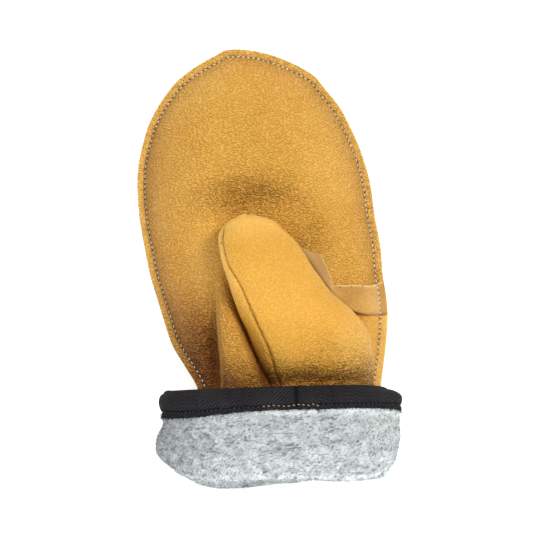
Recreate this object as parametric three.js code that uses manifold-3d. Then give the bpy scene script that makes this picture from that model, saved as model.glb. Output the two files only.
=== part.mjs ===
import * as THREE from 'three';
import Module from 'manifold-3d';

const wasm = await Module();
wasm.setup();

// Lined leather mitten lying on the back of the hand, palm and thumb upward.
// Lengths are in mm. X runs across the palm, Y toward the fingertips, Z up.
// Shares of X are of PALM_WIDTH, shares of Y are of BODY_LENGTH from the wrist line.

// Driving sizes
const PALM_WIDTH = 145;
const BODY_LENGTH = 196;
const LEATHER = 1.6;
const WELT_THICKNESS = 1.8;
const TAPE = 1.2;
const FLEECE_BAG = 3.5;
const BAG_EASE = 0.5;
const MOUTH_FLARE = 5;
const CLEARANCE = 0.6;
const EDGE_ROOM = TAPE + CLEARANCE;
const FLANGE = 4.3;
const PUFF_REACH = 46;
const BACK_REACH = 24;
const RIDGE_SHADE = 0.3;
const HEEL_DIP = 8;
const THUMB_PRESS = 3.5;
const WRIST_END = -0.215;
const FAN_AT = 0.7;

// Grid counts
const SIDE_ROWS = 15;
const TIP_ROWS = 20;
const BAG_SIDE_ROWS = 11;
const BAG_TIP_ROWS = 8;
const PALM_STEPS = 11;
const BACK_STEPS = 5;
const BAG_STEPS = 4;
const THUMB_POINTS = 22;
const THUMB_ROWS = 11;
const CUFF_POINTS = 36;

// Body sections: outline left and right, seam height, palm crest and underside
const BODY = [
  { y: -0.300, left: -0.278, right: 0.430, seam: 31, palm: 47, under: 10.1 },
  { y: -0.070, left: -0.282, right: 0.433, seam: 31, palm: 47, under: 10.1 },
  { y: 0.000, left: -0.290, right: 0.443, seam: 30, palm: 47, under: 10.1 },
  { y: 0.068, left: -0.342, right: 0.454, seam: 29, palm: 48, under: 8.5 },
  { y: 0.127, left: -0.390, right: 0.464, seam: 28, palm: 49.5, under: 5 },
  { y: 0.216, left: -0.431, right: 0.472, seam: 26, palm: 50.5, under: 1.5 },
  { y: 0.275, left: -0.456, right: 0.466, seam: 24, palm: 50, under: 0 },
  { y: 0.334, left: -0.480, right: 0.453, seam: 23, palm: 49, under: 0 },
  { y: 0.423, left: -0.505, right: 0.443, seam: 21, palm: 48, under: 0 },
  { y: 0.512, left: -0.525, right: 0.421, seam: 19, palm: 47, under: 0 },
  { y: 0.601, left: -0.533, right: 0.405, seam: 18, palm: 46, under: 0 },
  { y: 0.660, left: -0.529, right: 0.385, seam: 17, palm: 45, under: 0 },
  { y: 0.719, left: -0.513, right: 0.358, seam: 16.5, palm: 44, under: 0 },
  { y: 0.778, left: -0.490, right: 0.322, seam: 16, palm: 43, under: 0 },
  { y: 0.837, left: -0.450, right: 0.279, seam: 15.5, palm: 42, under: 0 },
  { y: 0.896, left: -0.394, right: 0.215, seam: 15, palm: 41, under: 0 },
  { y: 0.928, left: -0.350, right: 0.179, seam: 14.6, palm: 40, under: 0 },
  { y: 0.960, left: -0.290, right: 0.108, seam: 14.3, palm: 39, under: 0 },
  { y: 0.990, left: -0.218, right: 0.010, seam: 14, palm: 38, under: 0 },
  { y: 1.006, left: -0.172, right: -0.090, seam: 14, palm: 38, under: 0 },
];

// Thumb sections: plan points of both edges, lowest and highest level
const THUMB = [
  { lx: -0.002, ly: -0.070, rx: 0.414, ry: -0.070, low: 20, high: 49 },
  { lx: -0.010, ly: 0.000, rx: 0.414, ry: 0.012, low: 19, high: 52.5 },
  { lx: -0.030, ly: 0.053, rx: 0.412, ry: 0.095, low: 19, high: 59.5 },
  { lx: -0.066, ly: 0.112, rx: 0.394, ry: 0.166, low: 20, high: 64 },
  { lx: -0.102, ly: 0.186, rx: 0.330, ry: 0.231, low: 26, high: 69 },
  { lx: -0.134, ly: 0.243, rx: 0.246, ry: 0.284, low: 36, high: 73 },
  { lx: -0.162, ly: 0.308, rx: 0.174, ry: 0.355, low: 46, high: 75 },
  { lx: -0.190, ly: 0.373, rx: 0.114, ry: 0.423, low: 49, high: 76 },
  { lx: -0.203, ly: 0.429, rx: 0.053, ry: 0.480, low: 49.5, high: 75 },
  { lx: -0.200, ly: 0.456, rx: 0.018, ry: 0.499, low: 50.2, high: 74 },
  { lx: -0.185, ly: 0.477, rx: -0.018, ry: 0.509, low: 52, high: 72 },
  { lx: -0.162, ly: 0.495, rx: -0.056, ry: 0.517, low: 54.5, high: 69.2 },
  { lx: -0.129, ly: 0.510, rx: -0.094, ry: 0.517, low: 58, high: 65.5 },
];
const THUMB_TIP = 8;
const THUMB_CAP = 0.4;
const THUMB_BEYOND = 8;
const THUMB_SQUARE = 2.25;
const HOLE_INSET = 3.5;
const HOLE_START = -0.045;

// Thumb seam: share of the half width and half height on each side, by section
const THUMB_SEAM = [
  { at: 0.0, leftX: -0.70, leftZ: 0.69, rightX: 0.9, rightZ: -1.6 },
  { at: 3.0, leftX: -0.68, leftZ: 0.70, rightX: 0.9, rightZ: -1.5 },
  { at: 5.0, leftX: -0.68, leftZ: 0.71, rightX: 0.98, rightZ: -0.9 },
  { at: 6.0, leftX: -0.70, leftZ: 0.685, rightX: 0.99, rightZ: -0.7 },
  { at: 7.0, leftX: -0.80, leftZ: 0.54, rightX: 0.995, rightZ: -0.5 },
  { at: 8.0, leftX: -0.82, leftZ: 0.52, rightX: 1.0, rightZ: -0.35 },
  { at: 9.0, leftX: -0.84, leftZ: 0.48, rightX: 1.0, rightZ: -0.30 },
  { at: 10.0, leftX: -0.88, leftZ: 0.34, rightX: 1.0, rightZ: -0.25 },
  { at: 11.0, leftX: -0.92, leftZ: 0.10, rightX: 1.0, rightZ: -0.20 },
  { at: 12.0, leftX: -0.92, leftZ: 0.0, rightX: 1.0, rightZ: -0.10 },
];

// Fold of palm leather beside the thumb: left foot and right crevice
const RIDGE = [
  { y: -0.150, left: -0.196, right: -0.006, rise: 0 },
  { y: -0.100, left: -0.196, right: -0.006, rise: 5 },
  { y: -0.006, left: -0.197, right: -0.008, rise: 9.5 },
  { y: 0.071, left: -0.200, right: -0.046, rise: 9.5 },
  { y: 0.139, left: -0.208, right: -0.084, rise: 8.5 },
  { y: 0.207, left: -0.214, right: -0.116, rise: 6.5 },
  { y: 0.290, left: -0.218, right: -0.154, rise: 2.5 },
  { y: 0.350, left: -0.220, right: -0.180, rise: 0 },
];

// Hollows and swells in the palm leather
const DENTS = [
  { x: -0.050, y: 0.565, wide: 0.16, long: 0.035, turn: -8, depth: 3.2 },
  { x: 0.180, y: 0.470, wide: 0.12, long: 0.03, turn: -52, depth: 2.2 },
  { x: -0.330, y: 0.300, wide: 0.06, long: 0.14, turn: 10, depth: 1.8 },
  { x: -0.265, y: 0.020, wide: 0.06, long: 0.12, turn: 4, depth: 3.0 },
  { x: -0.100, y: 0.900, wide: 0.05, long: 0.10, turn: 4, depth: 1.4 },
  { x: 0.120, y: 0.700, wide: 0.05, long: 0.12, turn: 25, depth: -1.2 },
  { x: -0.270, y: 0.620, wide: 0.06, long: 0.16, turn: 6, depth: -1.0 },
];

// Crotch strip: plan points of both edges and their rise over the palm
const WELT = [
  { ax: 0.469, ay: 0.221, bx: 0.457, by: 0.319, riseA: 0, riseB: 0 },
  { ax: 0.422, ay: 0.219, bx: 0.410, by: 0.306, riseA: 0, riseB: 0 },
  { ax: 0.350, ay: 0.225, bx: 0.334, by: 0.306, riseA: 0.8, riseB: 0.2 },
  { ax: 0.274, ay: 0.263, bx: 0.258, by: 0.306, riseA: 3.0, riseB: 0.6 },
  { ax: 0.202, ay: 0.328, bx: 0.246, by: 0.322, riseA: 7.0, riseB: 1.2 },
  { ax: 0.142, ay: 0.388, bx: 0.222, by: 0.364, riseA: 9.0, riseB: 1.2 },
  { ax: 0.090, ay: 0.429, bx: 0.202, by: 0.393, riseA: 10.0, riseB: 1.0 },
];
const WELT_ROWS = 16;
const WELT_STEPS = 5;

// Turned back cuff sections: outline left and right, low and high level
const CUFF = [
  { y: 0.004, left: -0.424, right: 0.508, low: 1.5, high: 64, thick: 2.6 },
  { y: -0.030, left: -0.438, right: 0.526, low: 0, high: 65.5, thick: 3.4 },
  { y: -0.085, left: -0.430, right: 0.518, low: 0, high: 65, thick: 4.6 },
  { y: -0.120, left: -0.449, right: 0.520, low: 0, high: 66, thick: 6 },
  { y: -0.170, left: -0.458, right: 0.518, low: 0, high: 66, thick: 6 },
  { y: -0.200, left: -0.448, right: 0.510, low: 0, high: 65, thick: 6 },
  { y: -0.228, left: -0.406, right: 0.486, low: 0.6, high: 62, thick: 6 },
  { y: -0.249, left: -0.350, right: 0.450, low: 4, high: 56, thick: 6 },
  { y: -0.258, left: -0.300, right: 0.410, low: 9, high: 50, thick: 6 },
];
const CUFF_SQUARE = 2.6;
const CUFF_TILT = 0.009;
const CUFF_SLANT = 0.03;

// How far the fold reaches beyond its section, by angle round the cuff
const FOLD = [
  { at: 0, reach: 0.000, wave: 0 },
  { at: 50, reach: 0.008, wave: 0.6 },
  { at: 90, reach: 0.002, wave: -0.6 },
  { at: 130, reach: 0.012, wave: 0.5 },
  { at: 180, reach: -0.004, wave: 0 },
  { at: 205, reach: 0.012, wave: 0.4 },
  { at: 225, reach: 0.038, wave: 0.8 },
  { at: 262, reach: 0.030, wave: 0 },
  { at: 300, reach: 0.006, wave: 0 },
  { at: 360, reach: 0.000, wave: 0 },
];

// Binding: how far it reaches down the cuff, by angle round the cuff
const TAPE_REACH = [
  { at: 0, down: 0.076 },
  { at: 45, down: 0.064 },
  { at: 90, down: 0.060 },
  { at: 135, down: 0.078 },
  { at: 180, down: 0.078 },
  { at: 270, down: 0.075 },
  { at: 360, down: 0.076 },
];
const TAPE_JOINT_FROM = 72;
const TAPE_JOINT_LENGTH = 14;
const TAPE_JOINT_STEP = 0.7;

// Smooth reading of one column of a table
function read(table, key, at, column) {
  const last = table.length - 1;
  const rising = table[last][key] > table[0][key];
  const along = (row) => (rising ? row[key] : -row[key]);
  const place = rising ? at : -at;
  if (place <= along(table[0])) return table[0][column];
  if (place >= along(table[last])) return table[last][column];
  let i = 0;
  while (along(table[i + 1]) < place) i += 1;
  const slope = (k) => {
    const a = Math.max(0, k - 1);
    const b = Math.min(last, k + 1);
    return (table[b][column] - table[a][column]) / (along(table[b]) - along(table[a]));
  };
  const span = along(table[i + 1]) - along(table[i]);
  const t = (place - along(table[i])) / span;
  const t2 = t * t;
  const t3 = t2 * t;
  return (2 * t3 - 3 * t2 + 1) * table[i][column]
    + (t3 - 2 * t2 + t) * span * slope(i)
    + (3 * t2 - 2 * t3) * table[i + 1][column]
    + (t3 - t2) * span * slope(i + 1);
}

function smooth(from, to, value) {
  const t = Math.min(1, Math.max(0, (value - from) / (to - from)));
  return t * t * (3 - 2 * t);
}

// Closed mesh from shared points, turned outward
function toSolid(points, faces) {
  const seen = new Map();
  const remap = [];
  const verts = [];
  for (const p of points) {
    const tag = p.map((c) => Math.round(c * 1e4)).join(' ');
    if (!seen.has(tag)) {
      seen.set(tag, verts.length / 3);
      verts.push(p[0], p[1], p[2]);
    }
    remap.push(seen.get(tag));
  }
  const tris = [];
  let volume = 0;
  for (const f of faces) {
    const [a, b, c] = f.map((k) => remap[k]);
    if (a === b || b === c || c === a) continue;
    tris.push(a, b, c);
    const va = new THREE.Vector3(...verts.slice(3 * a, 3 * a + 3));
    const vb = new THREE.Vector3(...verts.slice(3 * b, 3 * b + 3));
    const vc = new THREE.Vector3(...verts.slice(3 * c, 3 * c + 3));
    volume += va.dot(vb.cross(vc)) / 6;
  }
  if (volume < 0) {
    for (let k = 0; k < tris.length; k += 3) {
      const swap = tris[k];
      tris[k] = tris[k + 1];
      tris[k + 1] = swap;
    }
  }
  return new wasm.Manifold(new wasm.Mesh({
    numProp: 3,
    vertProperties: new Float32Array(verts),
    triVerts: new Uint32Array(tris),
  }));
}

// Outline of the body
const leftEdge = (y) => read(BODY, 'y', y, 'left') * PALM_WIDTH;
const rightEdge = (y) => read(BODY, 'y', y, 'right') * PALM_WIDTH;

function tipArc(count) {
  const rows = BODY.filter((row) => row.y > FAN_AT + 0.01);
  const line = [new THREE.Vector2(leftEdge(FAN_AT), FAN_AT * BODY_LENGTH)];
  for (const row of rows) line.push(new THREE.Vector2(row.left * PALM_WIDTH, row.y * BODY_LENGTH));
  for (const row of rows.slice().reverse()) {
    line.push(new THREE.Vector2(row.right * PALM_WIDTH, row.y * BODY_LENGTH));
  }
  line.push(new THREE.Vector2(rightEdge(FAN_AT), FAN_AT * BODY_LENGTH));
  return new THREE.SplineCurve(line).getSpacedPoints(count);
}

function outline(sideRows, tipRows, from) {
  const loop = [];
  const centre = (y) => (leftEdge(y) + rightEdge(y)) / 2;
  const pole = { x: centre(FAN_AT), y: FAN_AT * BODY_LENGTH };
  for (let i = 0; i < sideRows; i += 1) {
    const y = from + (FAN_AT - from) * (i / sideRows);
    loop.push({ x: leftEdge(y), y: y * BODY_LENGTH, cx: centre(y), cy: y * BODY_LENGTH });
  }
  for (const p of tipArc(tipRows)) loop.push({ x: p.x, y: p.y, cx: pole.x, cy: pole.y });
  for (let i = sideRows - 1; i >= 0; i -= 1) {
    const y = from + (FAN_AT - from) * (i / sideRows);
    loop.push({ x: rightEdge(y), y: y * BODY_LENGTH, cx: centre(y), cy: y * BODY_LENGTH });
  }
  return loop;
}

const BORDER = outline(60, 90, -0.3);

function fromEdge(x, y) {
  let best = Infinity;
  for (let i = 1; i < BORDER.length; i += 1) {
    const a = BORDER[i - 1];
    const b = BORDER[i];
    const dx = b.x - a.x;
    const dy = b.y - a.y;
    const t = Math.min(1, Math.max(0, ((x - a.x) * dx + (y - a.y) * dy) / (dx * dx + dy * dy)));
    const ex = x - a.x - t * dx;
    const ey = y - a.y - t * dy;
    best = Math.min(best, ex * ex + ey * ey);
  }
  return Math.sqrt(best);
}

// Height of the palm and of the underside at a point
function puff(distance, reach, power) {
  const w = Math.min(1, Math.max(0, (distance - FLANGE) / reach));
  return (1 - (1 - w) ** 2.3) ** power;
}

function ridgeHeight(x, y) {
  const sy = y / BODY_LENGTH;
  const left = read(RIDGE, 'y', sy, 'left') * PALM_WIDTH;
  const right = read(RIDGE, 'y', sy, 'right') * PALM_WIDTH;
  const high = read(RIDGE, 'y', sy, 'rise');
  const wide = right - left;
  const q = (x - left) / wide;
  const rise = smooth(-0.02, 4.5 / wide, q);
  const fall = 1 - smooth(1 - 7 / wide, 1.02, q);
  const shade = Math.exp(-(((x - left + 3) / 4) ** 2));
  return high * (rise * fall - RIDGE_SHADE * shade);
}

function heelDip(x, y, lead) {
  const sy = y / BODY_LENGTH;
  const right = read(RIDGE, 'y', sy, 'right') * PALM_WIDTH;
  const fade = (1 - smooth(0.2, 0.36, sy)) * smooth(-0.17, -0.08, sy);
  return HEEL_DIP * fade * smooth(right - 3 - 3 * lead, right + 6 - lead, x);
}

function dents(x, y) {
  let sum = 0;
  for (const d of DENTS) {
    const turn = THREE.MathUtils.degToRad(d.turn);
    const dx = x - d.x * PALM_WIDTH;
    const dy = y - d.y * BODY_LENGTH;
    const a = (dx * Math.cos(turn) + dy * Math.sin(turn)) / (d.wide * PALM_WIDTH);
    const b = (dy * Math.cos(turn) - dx * Math.sin(turn)) / (d.long * BODY_LENGTH);
    sum += d.depth * Math.exp(-a * a - b * b);
  }
  return sum;
}

function thumbPress(x, y) {
  const a = (x / PALM_WIDTH + 0.04) / 0.13;
  const b = (y / BODY_LENGTH - 0.42) / 0.1;
  return THUMB_PRESS * Math.exp(-a * a - b * b);
}

// Palm level; the lining below it follows the same shape without the fold
function palmLevel(x, y, folded) {
  const sy = y / BODY_LENGTH;
  const distance = fromEdge(x, y);
  const base = read(BODY, 'y', sy, 'seam') + CLEARANCE / 2 + LEATHER;
  const crest = read(BODY, 'y', sy, 'palm');
  const share = puff(distance, PUFF_REACH, 0.72);
  const soft = smooth(FLANGE, 24, distance);
  const ridge = folded ? ridgeHeight(x, y) : Math.min(0, ridgeHeight(x, y)) - 0.4;
  const relief = ridge - heelDip(x, y, folded ? 0 : 3) - dents(x, y) - thumbPress(x, y);
  return Math.max(base, base + (crest - base) * share + relief * soft);
}

const palmTop = (x, y) => palmLevel(x, y, true);
const palmPlain = (x, y) => palmLevel(x, y, false);

function backLow(x, y) {
  const sy = y / BODY_LENGTH;
  const base = read(BODY, 'y', sy, 'seam') - CLEARANCE / 2 - LEATHER;
  const under = Math.max(0, read(BODY, 'y', sy, 'under'));
  return base - (base - under) * puff(fromEdge(x, y), BACK_REACH, 0.62);
}

function gradient(height, x, y) {
  const step = 0.6;
  return [
    (height(x + step, y) - height(x - step, y)) / (2 * step),
    (height(x, y + step) - height(x, y - step)) / (2 * step),
  ];
}

// Level parallel to a height by a wall thickness, measured upright
function shifted(height, amount) {
  return (x, y) => {
    const [gx, gy] = gradient(height, x, y);
    const size = typeof amount === 'function' ? amount(y / BODY_LENGTH) : amount;
    return height(x, y) + size * Math.min(3.5, Math.sqrt(1 + gx * gx + gy * gy));
  };
}

// Grid from the outline to the middle line, first cell being the flat flange
function fan(loop, steps, inset) {
  return loop.map((p) => {
    const long = Math.hypot(p.cx - p.x, p.cy - p.y);
    const start = typeof inset === 'function' ? inset(p.y / BODY_LENGTH) : inset;
    const row = [];
    for (let j = 0; j <= steps; j += 1) {
      let far = start;
      if (start === 0 && j > 0) far = FLANGE + (long - FLANGE) * ((j - 1) / (steps - 1)) ** 1.35;
      if (start > 0) far = start + (long - start) * (j / steps) ** 1.2;
      const t = j === steps ? 1 : far / long;
      row.push([p.x + (p.cx - p.x) * t, p.y + (p.cy - p.y) * t]);
    }
    return row;
  });
}

// Closed solid between two grids of points that share their layout
function between(first, second) {
  const rows = first.length;
  const steps = first[0].length;
  const points = first.flat().concat(second.flat());
  const id = (side, i, j) => side * rows * steps + i * steps + j;
  const faces = [];
  const quad = (a, b, c, d) => {
    faces.push([a, b, c]);
    faces.push([a, c, d]);
  };
  for (let i = 0; i + 1 < rows; i += 1) {
    for (let j = 0; j + 1 < steps; j += 1) {
      quad(id(0, i, j), id(0, i, j + 1), id(0, i + 1, j + 1), id(0, i + 1, j));
      quad(id(1, i, j), id(1, i + 1, j), id(1, i + 1, j + 1), id(1, i, j + 1));
    }
  }
  for (let i = 0; i + 1 < rows; i += 1) {
    quad(id(0, i, 0), id(0, i + 1, 0), id(1, i + 1, 0), id(1, i, 0));
  }
  return { points, faces, id, rows, steps, quad };
}

// Fan sheet: the middle line is shared, so only outline and wrist ends get walls
function fanSolid(first, second) {
  const made = between(first, second);
  const { id, rows, steps, quad } = made;
  for (let j = 0; j + 1 < steps; j += 1) {
    quad(id(0, 0, j), id(1, 0, j), id(1, 0, j + 1), id(0, 0, j + 1));
    const e = rows - 1;
    quad(id(0, e, j), id(0, e, j + 1), id(1, e, j + 1), id(1, e, j));
  }
  return toSolid(made.points, made.faces);
}

// Leather sheet of even thickness on a height, grown for clearance cuts
function leatherSheet(height, steps, side, grow = 0) {
  const grid = fan(outline(SIDE_ROWS, TIP_ROWS, WRIST_END), steps, 0);
  const layer = (depth) => grid.map((row, i) => row.map(([x, y], j) => {
    const level = j <= 0 ? [0, 0] : gradient(height, x, y);
    const lift = depth / Math.sqrt(1 + level[0] ** 2 + level[1] ** 2);
    const atEnd = i === 0 || i === grid.length - 1;
    const along = atEnd ? -grow : side * lift * level[1];
    return [x + side * lift * level[0], y + along, height(x, y) - side * lift];
  }));
  return fanSolid(layer(-grow), layer(LEATHER + grow));
}

// Solid between two heights inside an inset outline
function pillow(high, low, loop, steps, inset) {
  const grid = fan(loop, steps, inset);
  const top = grid.map((row) => row.map(([x, y]) => [x, y, high(x, y)]));
  const bottom = grid.map((row, i) => row.map(([x, y], j) => {
    return [x, y, Math.min(top[i][j][2] - 1.2, low(x, y))];
  }));
  return fanSolid(top, bottom);
}

// Closed solid through rings of points, with flat ends
function loft(rings) {
  const count = rings[0].length;
  const points = rings.flat();
  const faces = [];
  for (let i = 0; i + 1 < rings.length; i += 1) {
    for (let k = 0; k < count; k += 1) {
      const n = (k + 1) % count;
      const a = i * count + k;
      const b = i * count + n;
      faces.push([a, b, b + count]);
      faces.push([a, b + count, a + count]);
    }
  }
  for (const end of [0, rings.length - 1]) {
    const mid = [0, 0, 0];
    for (const p of rings[end]) for (let c = 0; c < 3; c += 1) mid[c] += p[c] / count;
    const hub = points.push(mid) - 1;
    for (let k = 0; k < count; k += 1) {
      const a = end * count + k;
      const b = end * count + ((k + 1) % count);
      faces.push(end === 0 ? [hub, b, a] : [hub, a, b]);
    }
  }
  return toSolid(points, faces);
}

// Rounded rectangle value between a circle and a square
function round(angle, power) {
  const c = Math.cos(angle);
  const s = Math.sin(angle);
  return [
    Math.sign(c) * Math.abs(c) ** (2 / power),
    Math.sign(s) * Math.abs(s) ** (2 / power),
  ];
}

// One section of the thumb at a place along its table, cap rows beyond the last
function thumbSection(at, cap) {
  const table = THUMB.map((row, i) => ({ ...row, at: i }));
  const value = (column) => read(table, 'at', at, column);
  const left = new THREE.Vector2(value('lx') * PALM_WIDTH, value('ly') * BODY_LENGTH);
  const right = new THREE.Vector2(value('rx') * PALM_WIDTH, value('ry') * BODY_LENGTH);
  const middle = left.clone().add(right).multiplyScalar(0.5);
  const across = right.clone().sub(left);
  const half = across.length() / 2;
  across.normalize();
  const ahead = new THREE.Vector2(-across.y, across.x);
  const slide = THUMB_CAP * Math.sin(cap);
  middle.addScaledVector(ahead, slide);
  return {
    x: middle.x,
    y: middle.y,
    z: (value('low') + value('high')) / 2,
    across,
    ahead,
    half: half * Math.cos(cap),
    tall: ((value('high') - value('low')) / 2) * Math.cos(cap),
  };
}

function thumbRing(section, inset, back) {
  const ring = [];
  for (let k = 0; k < THUMB_POINTS; k += 1) {
    const [c, s] = round((2 * Math.PI * k) / THUMB_POINTS, THUMB_SQUARE);
    const wide = Math.max(0.4, section.half - inset) * c;
    ring.push([
      section.x + section.across.x * wide - section.ahead.x * back,
      section.y + section.across.y * wide - section.ahead.y * back,
      section.z + Math.max(0.4, section.tall - inset) * s,
    ]);
  }
  return ring;
}

function thumbSolid(inset, openBy) {
  const last = THUMB.length - 1;
  const rings = [];
  for (let i = 0; i <= THUMB_ROWS; i += 1) {
    const at = (THUMB_TIP * i) / THUMB_ROWS;
    rings.push(thumbRing(thumbSection(at, 0), inset, i === 0 ? openBy : 0));
  }
  for (let at = THUMB_TIP + 1; at <= last; at += 1) {
    const pull = (at - THUMB_TIP) / (last - THUMB_TIP - 1);
    if (at < last || inset <= 0) rings.push(thumbRing(thumbSection(at, 0), inset, inset * Math.min(1, pull)));
  }
  if (inset <= 0) rings.push(thumbRing(thumbSection(last, 1), inset, inset));
  return loft(rings);
}

// Region above or below the line that joins both thumb seams
function seamRegion(shift, side) {
  const last = THUMB.length - 1;
  const rings = [];
  const stops = [];
  for (let i = 0; i <= THUMB_ROWS; i += 1) stops.push([(THUMB_TIP * i) / THUMB_ROWS, 0]);
  for (let at = THUMB_TIP + 1; at <= last; at += 1) stops.push([at, 0]);
  stops.push([last, THUMB_BEYOND]);
  stops.forEach(([at, beyond], i) => {
    const s = thumbSection(at, 0);
    const ends = i === 0 ? -12 : beyond;
    const pick = (column) => read(THUMB_SEAM, 'at', at, column);
    const a = [pick('leftX') * s.half, s.z + pick('leftZ') * s.tall + shift];
    const b = [pick('rightX') * s.half, s.z + pick('rightZ') * s.tall + shift];
    const slope = (b[1] - a[1]) / (b[0] - a[0]);
    const flat = a[0] - 18;
    const far = b[0] + 14;
    const section = [
      [flat, a[1] + 1],
      a,
      b,
      [far, b[1] + slope * 14],
      [far, side > 0 ? 130 : -90],
      [flat, side > 0 ? 130 : -90],
    ];
    rings.push(section.map(([w, z]) => [
      s.x + s.across.x * w + s.ahead.x * ends,
      s.y + s.across.y * w + s.ahead.y * ends,
      z,
    ]));
  });
  return loft(rings);
}

function block(lo, hi) {
  const rings = [lo[1], hi[1]].map((y) => [
    [lo[0], y, lo[2]],
    [hi[0], y, lo[2]],
    [hi[0], y, hi[2]],
    [lo[0], y, hi[2]],
  ]);
  return loft(rings);
}

// Body of one cut solid that has the most faces
function largest(solid) {
  const made = solid.getMesh();
  const root = Array.from({ length: made.numVert }, (_, k) => k);
  const find = (k) => {
    let at = k;
    while (root[at] !== at) at = root[at];
    return at;
  };
  for (let k = 0; k < made.triVerts.length; k += 3) {
    const a = find(made.triVerts[k]);
    root[find(made.triVerts[k + 1])] = a;
    root[find(made.triVerts[k + 2])] = a;
  }
  const groups = new Map();
  for (let k = 0; k < made.triVerts.length; k += 3) {
    const key = find(made.triVerts[k]);
    if (!groups.has(key)) groups.set(key, []);
    groups.get(key).push([made.triVerts[k], made.triVerts[k + 1], made.triVerts[k + 2]]);
  }
  const faces = [...groups.values()].sort((a, b) => b.length - a.length)[0];
  const remap = new Map();
  const verts = [];
  const tris = [];
  for (const k of faces.flat()) {
    if (!remap.has(k)) {
      remap.set(k, verts.length / 3);
      for (let c = 0; c < 3; c += 1) verts.push(made.vertProperties[made.numProp * k + c]);
    }
    tris.push(remap.get(k));
  }
  return new wasm.Manifold(new wasm.Mesh({
    numProp: 3,
    vertProperties: new Float32Array(verts),
    triVerts: new Uint32Array(tris),
  }));
}

// Leather body
const palmAll = leatherSheet(palmTop, PALM_STEPS, 1);
const backAll = leatherSheet(backLow, BACK_STEPS, -1);

// Thumb of two leather parts over a hole in the palm
const thumbOuter = thumbSolid(0, 0);
const thumbInner = thumbSolid(LEATHER, 4);
const thumbWide = thumbSolid(-CLEARANCE, -2);
const hole = thumbSolid(LEATHER + HOLE_INSET, 0).intersect(
  block([-200, HOLE_START * BODY_LENGTH, -20], [200, 2 * BODY_LENGTH, 200]),
);
const palmReach = pillow(
  shifted(palmTop, CLEARANCE),
  () => -20,
  outline(SIDE_ROWS, TIP_ROWS, WRIST_END),
  PALM_STEPS,
  0,
);
const thumbShell = thumbOuter.subtract(thumbInner).subtract(palmReach);
const thumbFront = largest(thumbShell.intersect(seamRegion(CLEARANCE / 2, 1)));
const thumbBack = largest(thumbShell.intersect(seamRegion(-CLEARANCE / 2, -1)));
const palmPanel = largest(palmAll.subtract(hole));

// Crotch strip laid on the palm between thumb and side seam
function weltSolid() {
  const table = WELT.map((row, i) => ({ ...row, at: i }));
  const face = [];
  const rear = [];
  for (let i = 0; i <= WELT_ROWS; i += 1) {
    const at = ((WELT.length - 1) * i) / WELT_ROWS;
    const value = (column) => read(table, 'at', at, column);
    const outer = [];
    const inner = [];
    for (let j = 0; j <= WELT_STEPS; j += 1) {
      const t = j / WELT_STEPS;
      const x = (value('ax') + (value('bx') - value('ax')) * t) * PALM_WIDTH;
      const y = (value('ay') + (value('by') - value('ay')) * t) * BODY_LENGTH;
      const rise = value('riseA') + (value('riseB') - value('riseA')) * t;
      const base = shifted(palmTop, CLEARANCE)(x, y) + rise;
      const [gx, gy] = gradient(palmTop, x, y);
      const steep = Math.min(1.6, Math.sqrt(1 + gx * gx + gy * gy));
      outer.push([x, y, base + WELT_THICKNESS * steep]);
      inner.push([x, y, base]);
    }
    face.push(outer);
    rear.push(inner);
  }
  const made = between(face, rear);
  const { id, rows, steps, quad } = made;
  for (let i = 0; i + 1 < rows; i += 1) {
    const j = steps - 1;
    quad(id(0, i, j), id(1, i, j), id(1, i + 1, j), id(0, i + 1, j));
  }
  for (let j = 0; j + 1 < steps; j += 1) {
    quad(id(0, 0, j), id(1, 0, j), id(1, 0, j + 1), id(0, 0, j + 1));
    const e = rows - 1;
    quad(id(0, e, j), id(0, e, j + 1), id(1, e, j + 1), id(1, e, j));
  }
  return toSolid(made.points, made.faces);
}
const crotchWelt = largest(weltSolid().subtract(thumbWide).subtract(palmReach));

// Turned back cuff and its fold
function cuffPoint(angle, y, outward) {
  const degrees = THREE.MathUtils.euclideanModulo(THREE.MathUtils.radToDeg(angle), 360);
  const left = read(CUFF, 'y', y, 'left') * PALM_WIDTH;
  const right = read(CUFF, 'y', y, 'right') * PALM_WIDTH;
  const low = read(CUFF, 'y', y, 'low');
  const high = read(CUFF, 'y', y, 'high');
  const [c, s] = round(angle, CUFF_SQUARE);
  const folded = smooth(-0.08, -0.25, y);
  const wave = read(FOLD, 'at', degrees, 'wave') * folded;
  const reach = read(FOLD, 'at', degrees, 'reach') * folded;
  const tilt = (CUFF_TILT * c + CUFF_SLANT * Math.min(0, s)) * (1 - folded);
  return [
    (left + right) / 2 + ((right - left) / 2 + outward + wave) * c,
    (y + tilt - reach) * BODY_LENGTH,
    Math.max(outward > 2 ? -outward : 0, (low + high) / 2 + ((high - low) / 2 + outward + wave) * s),
  ];
}

function cuffRing(y, outward, push = 0) {
  const ring = [];
  for (let k = 0; k < CUFF_POINTS; k += 1) {
    const p = cuffPoint((2 * Math.PI * k) / CUFF_POINTS, y, outward);
    p[1] += push;
    if (outward < 0) p[2] = Math.max(-outward, p[2]);
    ring.push(p);
  }
  return ring;
}

const cuffLevels = CUFF.map((row) => row.y);
const cuffTop = cuffLevels[0];
const cuffEnd = cuffLevels[cuffLevels.length - 1];

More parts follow.
